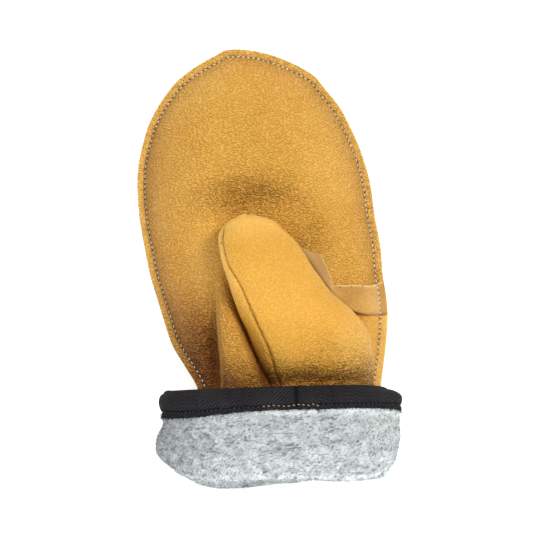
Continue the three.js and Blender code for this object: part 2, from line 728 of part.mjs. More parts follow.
// Outer body of the cuff and the room inside it
const cuffOuter = loft(cuffLevels.map((y) => cuffRing(y, 0)));
const cuffInner = loft([
  cuffRing(cuffTop, -CUFF[0].thick - EDGE_ROOM, 4),
  ...CUFF.slice(0, 6).map((row) => cuffRing(row.y, -row.thick - EDGE_ROOM)),
  cuffRing(-0.228, -CUFF[6].thick - EDGE_ROOM, 1.5),
]);
const bagDepth = LEATHER + CLEARANCE + BAG_EASE;
const flare = (sy) => MOUTH_FLARE * smooth(-0.2, -0.262, sy);
const bagOuter = pillow(
  shifted(palmPlain, -bagDepth),
  shifted(backLow, bagDepth),
  outline(BAG_SIDE_ROWS, BAG_TIP_ROWS, cuffEnd + 0.012),
  BAG_STEPS,
  FLANGE + 4,
);
const bagHollow = pillow(
  shifted(palmPlain, (sy) => flare(sy) - bagDepth - FLEECE_BAG),
  shifted(backLow, (sy) => bagDepth + FLEECE_BAG - flare(sy)),
  outline(BAG_SIDE_ROWS, BAG_TIP_ROWS, cuffEnd - 0.04),
  BAG_STEPS,
  (sy) => FLANGE + 4 + FLEECE_BAG - flare(sy),
);

// Ring of one cross section swept round the cuff
function cuffSweep(count, sectionAt) {
  const rings = [];
  for (let k = 0; k < count; k += 1) {
    const angle = (2 * Math.PI * k) / count;
    const section = sectionAt((360 * k) / count);
    rings.push(section.map(([y, out, push]) => {
      const p = cuffPoint(angle, y, out);
      p[1] += push;
      return p;
    }));
  }
  const size = rings[0].length;
  const faces = [];
  for (let k = 0; k < count; k += 1) {
    for (let n = 0; n < size; n += 1) {
      const a = k * size + n;
      const b = k * size + ((n + 1) % size);
      const c = ((k + 1) % count) * size + ((n + 1) % size);
      const d = ((k + 1) % count) * size + n;
      faces.push([a, b, c]);
      faces.push([a, c, d]);
    }
  }
  return toSolid(rings.flat(), faces);
}

// Binding folded over the free edge, inside and outside of the fleece
function tapeSection(degrees) {
  const joint = smooth(TAPE_JOINT_FROM - 2, TAPE_JOINT_FROM, degrees)
    * (1 - smooth(TAPE_JOINT_FROM + TAPE_JOINT_LENGTH, TAPE_JOINT_FROM + TAPE_JOINT_LENGTH + 4, degrees));
  const extra = TAPE_JOINT_STEP * joint;
  const down = read(TAPE_REACH, 'at', degrees, 'down');
  const low = cuffTop - down;
  const half = cuffTop - down * 0.5;
  const inTop = -CUFF[0].thick - EDGE_ROOM - CLEARANCE;
  const inLow = -read(CUFF, 'y', low, 'thick') - EDGE_ROOM - CLEARANCE;
  return [
    [low, extra, 0],
    [half, extra + 0.3, 0],
    [cuffTop, extra - 0.5, 0.6],
    [cuffTop, (inTop - TAPE + extra) / 2, 1.6],
    [cuffTop, inTop - TAPE, 0.6],
    [low, inLow - TAPE, 0],
    [low, inLow, 0],
    [cuffTop, inTop, -TAPE],
    [cuffTop, -TAPE - 0.6, -TAPE],
    [low, -TAPE, 0],
  ];
}
const binding = cuffSweep(CUFF_POINTS, tapeSection);

// Room that the binding takes from the fleece
function roomSection(degrees) {
  const down = read(TAPE_REACH, 'at', degrees, 'down');
  const low = cuffTop - down;
  return [
    [low, 4, -CLEARANCE],
    [cuffTop, 4, 8],
    [cuffTop, -TAPE - CLEARANCE - 0.6, 8],
    [cuffTop, -TAPE - CLEARANCE - 0.6, -TAPE - CLEARANCE],
    [low, -TAPE - CLEARANCE, -CLEARANCE],
  ];
}
const tapeRoom = cuffSweep(CUFF_POINTS, roomSection);
const edgeRoom = cuffSweep(CUFF_POINTS, () => [
  [cuffTop, 4, -TAPE - CLEARANCE],
  [cuffTop, 4, 9],
  [cuffTop, -14, 9],
  [cuffTop, -14, -TAPE - CLEARANCE],
]);

// The fleece is cut across just inside the wrist: turned back cuff, and lining of the hand
const palmRoom = leatherSheet(palmTop, PALM_STEPS, 1, CLEARANCE);
const backRoom = leatherSheet(backLow, BACK_STEPS, -1, CLEARANCE);
const cutAt = (WRIST_END + 0.003) * BODY_LENGTH;
const cuffSide = block([-200, -2 * BODY_LENGTH, -20], [200, cutAt, 200]);
const handSide = block([-200, cutAt + CLEARANCE, -20], [200, 2 * BODY_LENGTH, 200]);
const fleeceCuff = largest(
  cuffOuter.subtract(cuffInner)
    .subtract(tapeRoom)
    .subtract(edgeRoom)
    .add(bagOuter.intersect(cuffSide))
    .subtract(bagHollow)
    .subtract(palmRoom)
    .subtract(backRoom),
);
const handLining = largest(
  bagOuter.intersect(handSide)
    .subtract(bagHollow)
    .subtract(palmRoom)
    .subtract(backRoom)
    .subtract(hole),
);

// Sub-parts and their looks
const looks = {
  leather: new THREE.MeshStandardMaterial({ color: 0xd9a045, roughness: 0.62, metalness: 0 }),
  thumb: new THREE.MeshStandardMaterial({ color: 0xe6ae4a, roughness: 0.58, metalness: 0 }),
  suede: new THREE.MeshStandardMaterial({ color: 0xc18a49, roughness: 0.85, metalness: 0 }),
  tape: new THREE.MeshStandardMaterial({ color: 0x2b2a2c, roughness: 0.8, metalness: 0 }),
  fleece: new THREE.MeshStandardMaterial({ color: 0xb9c2c2, roughness: 0.95, metalness: 0 }),
};
const parts = [
  ['palm_panel', palmPanel, looks.leather.clone()],
  ['back_panel', backAll, looks.leather.clone()],
  ['thumb_front', thumbFront, looks.thumb.clone()],
  ['thumb_back', thumbBack, looks.thumb.clone()],
  ['crotch_welt', crotchWelt, looks.suede],
  ['cuff_binding', binding, looks.tape],
  ['fleece_cuff', fleeceCuff, looks.fleece.clone()],
  ['hand_lining', handLining, looks.fleece.clone()],
];

const group = new THREE.Group();
group.name = 'leather_mitten';
for (const [name, solid, material] of parts) {
  const made = solid.getMesh();
  const flat = new Float32Array(made.numVert * 3);
  for (let v = 0; v < made.numVert; v += 1) {
    for (let c = 0; c < 3; c += 1) flat[3 * v + c] = made.vertProperties[made.numProp * v + c];
  }
  const geometry = new THREE.BufferGeometry();
  geometry.setAttribute('position', new THREE.BufferAttribute(flat, 3));
  geometry.setIndex(new THREE.BufferAttribute(new Uint32Array(made.triVerts), 1));
  geometry.computeVertexNormals();
  const mesh = new THREE.Mesh(geometry, material);
  mesh.name = name;
  group.add(mesh);
}

// Origin under the middle of the whole mitten
const whole = new THREE.Box3().setFromObject(group);
const middle = whole.getCenter(new THREE.Vector3());
for (const mesh of group.children) {
  mesh.geometry.translate(-middle.x, -middle.y, -whole.min.z);
}

export default group;
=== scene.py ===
import bpy
import bmesh
import math
import numpy as np
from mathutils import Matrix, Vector


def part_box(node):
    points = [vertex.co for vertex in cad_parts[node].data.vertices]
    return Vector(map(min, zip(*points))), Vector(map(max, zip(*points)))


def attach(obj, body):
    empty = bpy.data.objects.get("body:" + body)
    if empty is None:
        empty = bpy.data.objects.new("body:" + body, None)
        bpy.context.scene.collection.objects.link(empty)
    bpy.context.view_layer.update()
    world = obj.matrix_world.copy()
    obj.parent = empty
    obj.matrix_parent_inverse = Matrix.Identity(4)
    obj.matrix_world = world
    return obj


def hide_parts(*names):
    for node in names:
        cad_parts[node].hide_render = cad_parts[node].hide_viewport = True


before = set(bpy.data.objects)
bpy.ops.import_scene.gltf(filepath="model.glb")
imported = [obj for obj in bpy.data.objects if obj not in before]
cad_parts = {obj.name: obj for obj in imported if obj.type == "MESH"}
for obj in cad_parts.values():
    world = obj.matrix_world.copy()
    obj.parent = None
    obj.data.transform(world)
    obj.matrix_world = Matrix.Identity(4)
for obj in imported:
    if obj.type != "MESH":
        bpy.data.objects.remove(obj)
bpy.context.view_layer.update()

# ---------------------------------------------------------------- sizes, in mm
PALM_WIDTH = 145.0
BODY_LENGTH = 196.0
LEATHER = 1.6
FLANGE = 4.3
PUFF_REACH = 46.0
BACK_REACH = 24.0
CLEARANCE = 0.6
RIDGE_SHADE = 0.3
HEEL_DIP = 8.0
THUMB_PRESS = 3.5
WRIST_END = -0.215
FAN_AT = 0.7
TAPE = 1.2
EDGE_ROOM = TAPE + CLEARANCE
FLEECE_BAG = 3.5
BAG_EASE = 0.5
MOUTH_FLARE = 5.0
STITCH_AT = 4.5
STITCH_PITCH = 3.0
BINDING_PITCH = 2.9
STITCH_ROW = 7          # row of the tape's grid that its stitches follow
# how finely the surfaces are cut, and how many fibres they carry
TAPE_STEPS = 480
CUFF_STEPS = 430
CUFF_ROWS = 76          # rows of the cuff's outer side
CUFF_INNER = 92         # first row inside the rolled edge
THUMB_ROWS = 190
THUMB_CAP_ROWS = 44
PILE_STRANDS = 34000
FRAY_STRANDS = 3800
# the photo: mm a pixel, middle and width of the palm, wrist and length of the hand in pixels
PIXEL = 0.58
PHOTO_MID = 269.5
PHOTO_WIDTH = 250
PHOTO_WRIST = 388
PHOTO_LENGTH = 338


def table(names, rows):
    return {n: np.array([r[i] for r in rows], float) for i, n in enumerate(names.split())}


BODY = table("y left right seam palm under", [
    (-0.3, -0.278, 0.43, 31, 47, 10.1), (-0.07, -0.282, 0.433, 31, 47, 10.1),
    (0, -0.29, 0.443, 30, 47, 10.1), (0.068, -0.342, 0.454, 29, 48, 8.5),
    (0.127, -0.39, 0.464, 28, 49.5, 5), (0.216, -0.431, 0.472, 26, 50.5, 1.5),
    (0.275, -0.456, 0.466, 24, 50, 0), (0.334, -0.48, 0.453, 23, 49, 0),
    (0.423, -0.505, 0.443, 21, 48, 0), (0.512, -0.525, 0.421, 19, 47, 0),
    (0.601, -0.533, 0.405, 18, 46, 0), (0.66, -0.529, 0.385, 17, 45, 0),
    (0.719, -0.513, 0.358, 16.5, 44, 0), (0.778, -0.49, 0.322, 16, 43, 0),
    (0.837, -0.45, 0.279, 15.5, 42, 0), (0.896, -0.394, 0.215, 15, 41, 0),
    (0.928, -0.35, 0.179, 14.6, 40, 0), (0.96, -0.29, 0.108, 14.3, 39, 0),
    (0.99, -0.218, 0.01, 14, 38, 0), (1.006, -0.172, -0.09, 14, 38, 0)])
THUMB = table("at lx ly rx ry low high", [
    (0, -0.002, -0.070, 0.414, -0.070, 20, 49), (1, -0.010, 0.000, 0.414, 0.012, 19, 52.5),
    (2, -0.030, 0.053, 0.412, 0.095, 19, 59.5), (3, -0.066, 0.112, 0.394, 0.166, 20, 64),
    (4, -0.102, 0.186, 0.330, 0.231, 26, 69), (5, -0.134, 0.243, 0.246, 0.284, 36, 73),
    (6, -0.162, 0.308, 0.174, 0.355, 46, 75), (7, -0.190, 0.373, 0.114, 0.423, 49, 76),
    (8, -0.203, 0.429, 0.055, 0.4675, 49.5, 75), (9, -0.200, 0.456, 0.016, 0.492, 50.2, 74),
    (10, -0.186, 0.476, -0.020, 0.5045, 52, 72), (11, -0.164, 0.493, -0.055, 0.511, 54.5, 69.2),
    (12, -0.134, 0.506, -0.092, 0.514, 58, 65.5)])
THUMB_CAP = 0.55
THUMB_SQUARE = 2.25
RIDGE = table("y left right rise", [
    (-0.150, -0.196, -0.006, 0), (-0.100, -0.196, -0.006, 5), (-0.006, -0.197, -0.008, 9.5),
    (0.071, -0.200, -0.046, 9.5), (0.139, -0.208, -0.084, 8.5), (0.207, -0.214, -0.116, 6.5),
    (0.290, -0.218, -0.154, 2.5), (0.350, -0.220, -0.180, 0)])
DENTS = [
    (-0.050, 0.565, 0.16, 0.035, -8, 3.2), (0.180, 0.470, 0.12, 0.03, -52, 2.2),
    (-0.330, 0.300, 0.06, 0.14, 10, 1.8), (-0.265, 0.020, 0.06, 0.12, 4, 3.0),
    (-0.100, 0.900, 0.05, 0.10, 4, 1.4), (0.120, 0.700, 0.05, 0.12, 25, -1.2),
    (-0.270, 0.620, 0.06, 0.16, 6, -1.0)]
WELT = table("at ax ay bx by riseA riseB", [
    (0, 0.469, 0.221, 0.457, 0.319, 0, 0), (1, 0.422, 0.219, 0.410, 0.306, 0, 0),
    (2, 0.350, 0.225, 0.334, 0.306, 0.8, 0.2), (3, 0.274, 0.263, 0.258, 0.306, 3.0, 0.6),
    (4, 0.202, 0.328, 0.246, 0.322, 7.0, 1.2), (5, 0.142, 0.388, 0.222, 0.364, 9.0, 1.2),
    (6, 0.090, 0.429, 0.202, 0.393, 10.0, 1.0)])
WELT_THICKNESS = 1.8
CUFF = table("y left right low high thick", [
    (0.004, -0.424, 0.508, 1.5, 64, 2.6), (-0.030, -0.438, 0.526, 0, 65.5, 3.4),
    (-0.085, -0.430, 0.518, 0, 65, 4.6), (-0.120, -0.449, 0.520, 0, 66, 6),
    (-0.170, -0.458, 0.518, 0, 66, 6), (-0.200, -0.448, 0.510, 0, 65, 6),
    (-0.228, -0.406, 0.486, 0.6, 62, 6), (-0.249, -0.350, 0.450, 4, 56, 6),
    (-0.258, -0.300, 0.410, 9, 50, 6)])
CUFF_SQUARE = 2.6
CUFF_TILT = 0.009
CUFF_SLANT = 0.03
FOLD = table("at reach wave", [
    (0, 0.000, 0), (50, 0.008, 0.6), (90, 0.002, -0.6), (130, 0.012, 0.5), (180, -0.004, 0), (205, 0.012, 0.4),
    (225, 0.038, 0.8), (262, 0.030, 0), (300, 0.006, 0), (360, 0.000, 0)])
TAPE_REACH = table("at down", [
    (0, 0.076), (45, 0.064), (90, 0.060), (135, 0.078), (180, 0.078), (270, 0.075), (360, 0.076)])
TAPE_JOINT_FROM = 72.0
TAPE_JOINT_LENGTH = 14.0
TAPE_JOINT_STEP = 1.0
CUFF_TOP = 0.004
ROLL_AT = -0.238
ROLL_DEEP = 4.6


def read(tab, key, at, col):
    k, v = tab[key], tab[col]
    if k[0] > k[-1]:
        k, v = k[::-1], v[::-1]
    m = np.empty_like(v)
    m[1:-1] = (v[2:] - v[:-2]) / (k[2:] - k[:-2])
    m[0] = (v[1] - v[0]) / (k[1] - k[0])
    m[-1] = (v[-1] - v[-2]) / (k[-1] - k[-2])
    at = np.clip(np.asarray(at, float), k[0], k[-1])
    i = np.clip(np.searchsorted(k, at, side="right") - 1, 0, len(k) - 2)
    h = k[i + 1] - k[i]
    t = (at - k[i]) / h
    t2, t3 = t * t, t * t * t
    return ((2 * t3 - 3 * t2 + 1) * v[i] + (t3 - 2 * t2 + t) * h * m[i]
            + (3 * t2 - 2 * t3) * v[i + 1] + (t3 - t2) * h * m[i + 1])


def smooth(a, b, v):
    t = np.clip((np.asarray(v, float) - a) / (b - a), 0, 1)
    return t * t * (3 - 2 * t)


def bell(v, width):
    return np.exp(-(v / width) ** 2)


def bell2(v, width, w, height):
    return np.exp(-(v / width) ** 2 - (w / height) ** 2)


def spot(x, y, pixel, size):
    cx, cy = from_photo(*pixel)
    return np.exp(-((x - cx) ** 2 + (y - cy) ** 2) / size)


def from_photo(px, py):
    return (px - PHOTO_MID) / PHOTO_WIDTH * PALM_WIDTH, (PHOTO_WRIST - py) / PHOTO_LENGTH * BODY_LENGTH


# ------------------------------------------------------------- seeded 3-D noise
_rng = np.random.RandomState(11)
_perm = _rng.permutation(256)
_perm = np.concatenate([_perm, _perm, _perm])
_grad = _rng.normal(size=(256, 3))
_grad /= np.linalg.norm(_grad, axis=1)[:, None]


def noise(x, y, z):
    x, y, z = np.broadcast_arrays(np.asarray(x, float), y, z)
    xi, yi, zi = np.floor(x).astype(int), np.floor(y).astype(int), np.floor(z).astype(int)
    xf, yf, zf = x - xi, y - yi, z - zi
    fade = lambda t: t * t * t * (t * (t * 6 - 15) + 10)
    u, v, w = fade(xf), fade(yf), fade(zf)
    total = 0.0
    for a in (0, 1):
        for b in (0, 1):
            for c in (0, 1):
                h = _perm[_perm[_perm[(xi + a) & 255] + ((yi + b) & 255)] + ((zi + c) & 255)]
                g = _grad[h]
                d = g[..., 0] * (xf - a) + g[..., 1] * (yf - b) + g[..., 2] * (zf - c)
                total += d * (u if a else 1 - u) * (v if b else 1 - v) * (w if c else 1 - w)
    return total * 1.5


def fbm(x, y, z, octaves=3):
    total, amp = 0.0, 1.0
    for k in range(octaves):
        total += amp * noise(x * 2 ** k + 7.3 * k, y * 2 ** k - 3.1 * k, z * 2 ** k + 1.7 * k)
        amp *= 0.5
    return total


# ------------------------------------------------------------------- the outline
def left_edge(sy):
    return read(BODY, "y", sy, "left") * PALM_WIDTH


def right_edge(sy):
    return read(BODY, "y", sy, "right") * PALM_WIDTH


def spline(points, per=24):
    p = np.asarray(points, float)
    q = np.vstack([p[:1], p, p[-1:]])
    out = []
    for i in range(1, len(q) - 2):
        p0, p1, p2, p3 = q[i - 1], q[i], q[i + 1], q[i + 2]
        t = np.linspace(0, 1, per, endpoint=False)[:, None]
        v0, v1 = (p2 - p0) * 0.5, (p3 - p1) * 0.5
        out.append((2 * p1 - 2 * p2 + v0 + v1) * t ** 3 + (-3 * p1 + 3 * p2 - 2 * v0 - v1) * t ** 2 + v0 * t + p1)
    return np.vstack(out + [p[-1:]])


def run(line):
    """Length along a line up to each of its points."""
    return np.r_[0, np.cumsum(np.linalg.norm(np.diff(line, axis=0), axis=1))]


def run_across(P):
    """The same for every row of a grid."""
    steps = np.linalg.norm(np.diff(P, axis=1), axis=2)
    return np.concatenate([np.zeros((len(P), 1)), np.cumsum(steps, axis=1)], axis=1)


def spaced(line, count):
    step = run(line)
    at = np.linspace(0, step[-1], count + 1)
    return np.stack([np.interp(at, step, line[:, k]) for k in range(line.shape[1])], 1)


def tip_arc(count):
    rows = BODY["y"] > FAN_AT + 0.01
    left = np.stack([BODY["left"][rows] * PALM_WIDTH, BODY["y"][rows] * BODY_LENGTH], 1)
    right = np.stack([BODY["right"][rows] * PALM_WIDTH, BODY["y"][rows] * BODY_LENGTH], 1)[::-1]
    start = [[left_edge(FAN_AT), FAN_AT * BODY_LENGTH]]
    end = [[right_edge(FAN_AT), FAN_AT * BODY_LENGTH]]
    return spaced(spline(np.vstack([start, left, right, end])), count)


def outline(side, tip, start):
    sy = start + (FAN_AT - start) * np.arange(side) / side
    mid = (left_edge(sy) + right_edge(sy)) / 2
    pole = [(left_edge(FAN_AT) + right_edge(FAN_AT)) / 2, FAN_AT * BODY_LENGTH]
    a = np.stack([left_edge(sy), sy * BODY_LENGTH, mid, sy * BODY_LENGTH], 1)
    arc = tip_arc(tip)
    b = np.hstack([arc, np.tile(pole, (len(arc), 1))])
    c = np.stack([right_edge(sy), sy * BODY_LENGTH, mid, sy * BODY_LENGTH], 1)[::-1]
    return np.vstack([a, b, c])


BORDER = outline(60, 90, -0.3)[:, :2]
_a, _b = BORDER[:-1], BORDER[1:]
_d = _b - _a
_dd = (_d ** 2).sum(1)


def from_edge(x, y):
    x, y = np.broadcast_arrays(np.asarray(x, float), y)
    flat = np.stack([x.ravel(), y.ravel()], 1)
    best = np.empty(len(flat))
    for s in range(0, len(flat), 20000):
        p = flat[s:s + 20000, None, :]
        t = np.clip(((p - _a) * _d).sum(2) / _dd, 0, 1)
        e = p - _a - t[..., None] * _d
        best[s:s + 20000] = (e ** 2).sum(2).min(1)
    return np.sqrt(best).reshape(x.shape)


def puff(distance, reach, power):
    w = np.clip((distance - FLANGE) / reach, 0, 1)
    return (1 - (1 - w) ** 2.3) ** power


def ridge_height(x, y):
    sy = y / BODY_LENGTH
    left = read(RIDGE, "y", sy, "left") * PALM_WIDTH
    right = read(RIDGE, "y", sy, "right") * PALM_WIDTH
    high = read(RIDGE, "y", sy, "rise")
    wide = right - left
    q = (x - left) / wide
    rise = smooth(-0.02, 2.8 / wide, q)
    fall = 1 - smooth(1 - 4.6 / wide, 1.02, q)
    shade = bell(x - left + 3, 4)
    return high * (rise * fall - RIDGE_SHADE * shade)


def heel_dip(x, y, lead=0.0):
    sy = y / BODY_LENGTH
    right = read(RIDGE, "y", sy, "right") * PALM_WIDTH
    fade = (1 - smooth(0.2, 0.36, sy)) * smooth(-0.17, -0.08, sy)
    t = np.clip((x - (right - 3 - 3 * lead)) / (9 + 2 * lead), 0, 1)
    return HEEL_DIP * fade * t * t * (3 - 2 * t)


def dents(x, y):
    total = 0.0
    for dx0, dy0, wide, long, turn, depth in DENTS:
        r = math.radians(turn)
        dx, dy = x - dx0 * PALM_WIDTH, y - dy0 * BODY_LENGTH
        a = (dx * math.cos(r) + dy * math.sin(r)) / (wide * PALM_WIDTH)
        b = (dy * math.cos(r) - dx * math.sin(r)) / (long * BODY_LENGTH)
        total += depth * np.exp(-a * a - b * b)
    return total


def thumb_press(x, y):
    a = (x / PALM_WIDTH + 0.04) / 0.13
    b = (y / BODY_LENGTH - 0.42) / 0.1
    return THUMB_PRESS * np.exp(-a * a - b * b)


def palm_level(x, y, folded=True, distance=None):
    sy = y / BODY_LENGTH
    d = from_edge(x, y) if distance is None else distance
    base = read(BODY, "y", sy, "seam") + CLEARANCE / 2 + LEATHER
    crest = read(BODY, "y", sy, "palm")
    ridge = ridge_height(x, y) if folded else np.minimum(0, ridge_height(x, y)) - 0.4
    relief = ridge - heel_dip(x, y, 0 if folded else 3) - dents(x, y) - thumb_press(x, y)
    soft = smooth(FLANGE, 24, d)
    return np.maximum(base, base + (crest - base) * puff(d, PUFF_REACH, 0.72) + relief * soft)


def back_level(x, y, distance=None):
    sy = y / BODY_LENGTH
    d = from_edge(x, y) if distance is None else distance
    base = read(BODY, "y", sy, "seam") - CLEARANCE / 2 - LEATHER
    under = np.maximum(0, read(BODY, "y", sy, "under"))
    return base - (base - under) * puff(d, BACK_REACH, 0.62)


# ----------------------------------------------------------------- mesh building
lo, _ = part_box("palm_panel")
SHIFT = np.array([lo[0] * 1000 - outline(15, 20, WRIST_END)[:, 0].min(),
                  lo[1] * 1000 - WRIST_END * BODY_LENGTH, 0.0])


def to_m(p):
    return (np.asarray(p, float) + SHIFT) * 0.001


def quad_mesh(name, points, quads):
    """Mesh of quads over points in mm."""
    mesh = bpy.data.meshes.new(name)
    mesh.vertices.add(len(points))
    mesh.vertices.foreach_set("co", to_m(points).ravel())
    mesh.loops.add(len(quads) * 4)
    mesh.loops.foreach_set("vertex_index", quads.ravel())
    mesh.polygons.add(len(quads))
    mesh.polygons.foreach_set("loop_start", np.arange(len(quads)) * 4)
    mesh.update(calc_edges=True)
    return mesh


def tint_points(mesh, rgb):
    layer = mesh.attributes.new("Tint", "FLOAT_COLOR", "POINT")
    rgba = np.concatenate([rgb, np.ones(rgb.shape[:-1] + (1,))], -1)
    layer.data.foreach_set("color", rgba.astype(np.float32).ravel())


def place(name, mesh, material=None):
    mesh.polygons.foreach_set("use_smooth", np.ones(len(mesh.polygons), bool))
    ob = bpy.data.objects.new(name, mesh)
    bpy.context.scene.collection.objects.link(ob)
    if material is not None:
        mesh.materials.append(material)
    return ob


def grid_object(name, P, uv=None, wrap=False, attrs=None, keep=None, colour=None):
    """Quad surface from an (n, m, 3) grid in mm. wrap closes the first index."""
    n, m = P.shape[:2]
    I, J = np.meshgrid(np.arange(n if wrap else n - 1), np.arange(m - 1), indexing="ij")
    I, J = I.ravel(), J.ravel()
    I2 = (I + 1) % n
    quads = np.stack([I * m + J, I2 * m + J, I2 * m + J + 1, I * m + J + 1], 1)
    kept = np.ones(len(quads), bool) if keep is None else keep.ravel()
    mesh = quad_mesh(name, P.reshape(-1, 3), quads[kept])
    if uv is not None:
        if wrap:
            uv = np.concatenate([uv, uv[-1:] + (uv[-1:] - uv[-2:-1])], 0)
        corners = np.stack([uv[I, J], uv[I + 1, J], uv[I + 1, J + 1], uv[I, J + 1]], 1)[kept]
        layer = mesh.uv_layers.new(name="UVMap")
        layer.data.foreach_set("uv", corners.reshape(-1, 2).astype(np.float32).ravel())
    for key, val in (attrs or {}).items():
        layer = mesh.attributes.new(key, "FLOAT", "POINT")
        layer.data.foreach_set("value", np.broadcast_to(val, (n, m)).astype(np.float32).ravel())
    if colour is not None:
        tint_points(mesh, colour)
    mesh.validate()
    bm = bmesh.new()
    bm.from_mesh(mesh)
    bmesh.ops.remove_doubles(bm, verts=bm.verts, dist=2e-6)
    bmesh.ops.delete(bm, geom=[v for v in bm.verts if not v.link_faces], context="VERTS")
    bm.to_mesh(mesh)
    bm.free()
    ob = place(name, mesh)
    mesh.update()
    return ob


def dress(ob, thick, material, offset=-1.0):
    """Give the surface its wall, in mm, and its material."""
    mod = ob.modifiers.new("Wall", "SOLIDIFY")
    mod.thickness = thick * 0.001
    mod.offset = offset
    mod.use_even_offset = False
    mod.use_rim = True
    ob.data.materials.append(material)


def face_up(ob, up=True, centre=None):
    """Turn the whole surface so that most of it looks up, down or away from a point."""
    mesh = ob.data
    n = np.empty(len(mesh.polygons) * 3)
    mesh.polygons.foreach_get("normal", n)
    n = n.reshape(-1, 3)
    if centre is None:
        value = n[:, 2].sum() * (1 if up else -1)
    else:
        c = np.empty(len(mesh.polygons) * 3)
        mesh.polygons.foreach_get("center", c)
        value = (n * (c.reshape(-1, 3) - np.asarray(centre))).sum()
    if value < 0:
        mesh.flip_normals()


def grid_normals(P, wrap=False):
    du = np.roll(P, -1, 0) - np.roll(P, 1, 0) if wrap else np.gradient(P, axis=0)
    n = np.cross(du, np.gradient(P, axis=1))
    return n / np.maximum(np.linalg.norm(n, axis=2, keepdims=True), 1e-9)


def fan(loop, near, rest):
    """Points from each loop point to its middle: near in mm, then shares of what is left."""
    long = np.hypot(loop[:, 2] - loop[:, 0], loop[:, 3] - loop[:, 1])[:, None]
    depth = np.hstack([np.tile(near, (len(loop), 1)), near[-1] + (long - near[-1]) * rest])
    return loop[:, None, :2] + (loop[:, 2:] - loop[:, :2])[:, None] * (depth / long)[..., None], depth


# --------------------------------------------------------------------- materials
class Shader:
    """One material, with short calls for the nodes that are used here."""

    def __init__(self, name):
        self.mat = bpy.data.materials.new(name)
        self.mat.use_nodes = True
        self.tree = self.mat.node_tree
        self.tree.nodes.clear()
        self.bsdf = self.node("BsdfPrincipled", {})
        self.node("OutputMaterial", {0: self.bsdf.outputs[0]})

    def node(self, kind, inputs, **props):
        n = self.tree.nodes.new("ShaderNode" + kind)
        for key, value in props.items():
            setattr(n, key, value)
        for key, value in inputs.items():
            self.put(n.inputs[key], value)
        return n

    def put(self, socket, value):
        """Link an output to the socket, or set the socket's own value."""
        if isinstance(value, bpy.types.NodeSocket):
            self.tree.links.new(value, socket)
        else:
            socket.default_value = (*value, 1) if socket.type == "RGBA" else value

    def coords(self):
        return self.node("TexCoord", {}).outputs["Object"]

    def noise(self, co, scale, detail, rough, distortion=0.0, out="Fac"):
        return self.node("TexNoise", {"Vector": co, "Scale": scale, "Detail": detail, "Roughness": rough,
                                      "Distortion": distortion}).outputs[out]

    def ramp(self, fac, *stops):
        r = self.node("ValToRGB", {0: fac})
        points = r.color_ramp.elements
        while len(points) < len(stops):
            points.new(0.5)
        for point, (at, colour) in zip(points, stops):
            point.position = at
            point.color = (*colour, 1)
        return r.outputs[0]

    def mix(self, fac, a, b, blend="MIX"):
        return self.node("Mix", {0: fac, 6: a, 7: b}, data_type="RGBA", blend_type=blend).outputs[2]

    def math(self, operation, a, b=0.5, clamp=False):
        return self.node("Math", {0: a, 1: b}, operation=operation, use_clamp=clamp).outputs[0]

    def line(self, value, slope, start):
        return self.math("ADD", self.math("MULTIPLY", value, slope), start)

    def attribute(self, name, out="Fac"):
        return self.node("Attribute", {}, attribute_name=name).outputs[out]

    def stretched(self, co, scale, turn=0.0):
        return self.node("Mapping", {"Vector": co, "Scale": scale, "Rotation": (0, 0, turn)}).outputs[0]

    def bump(self, height, strength, distance, normal=None):
        b = self.node("Bump", {"Height": height, "Strength": strength, "Distance": distance})
        if normal is not None:
            self.put(b.inputs["Normal"], normal)
        return b.outputs[0]

    def done(self, **inputs):
        for key, value in inputs.items():
            self.put(self.bsdf.inputs[key.replace("_", " ")], value)
        return self.mat


def grey(v):
    return (v, v, v)


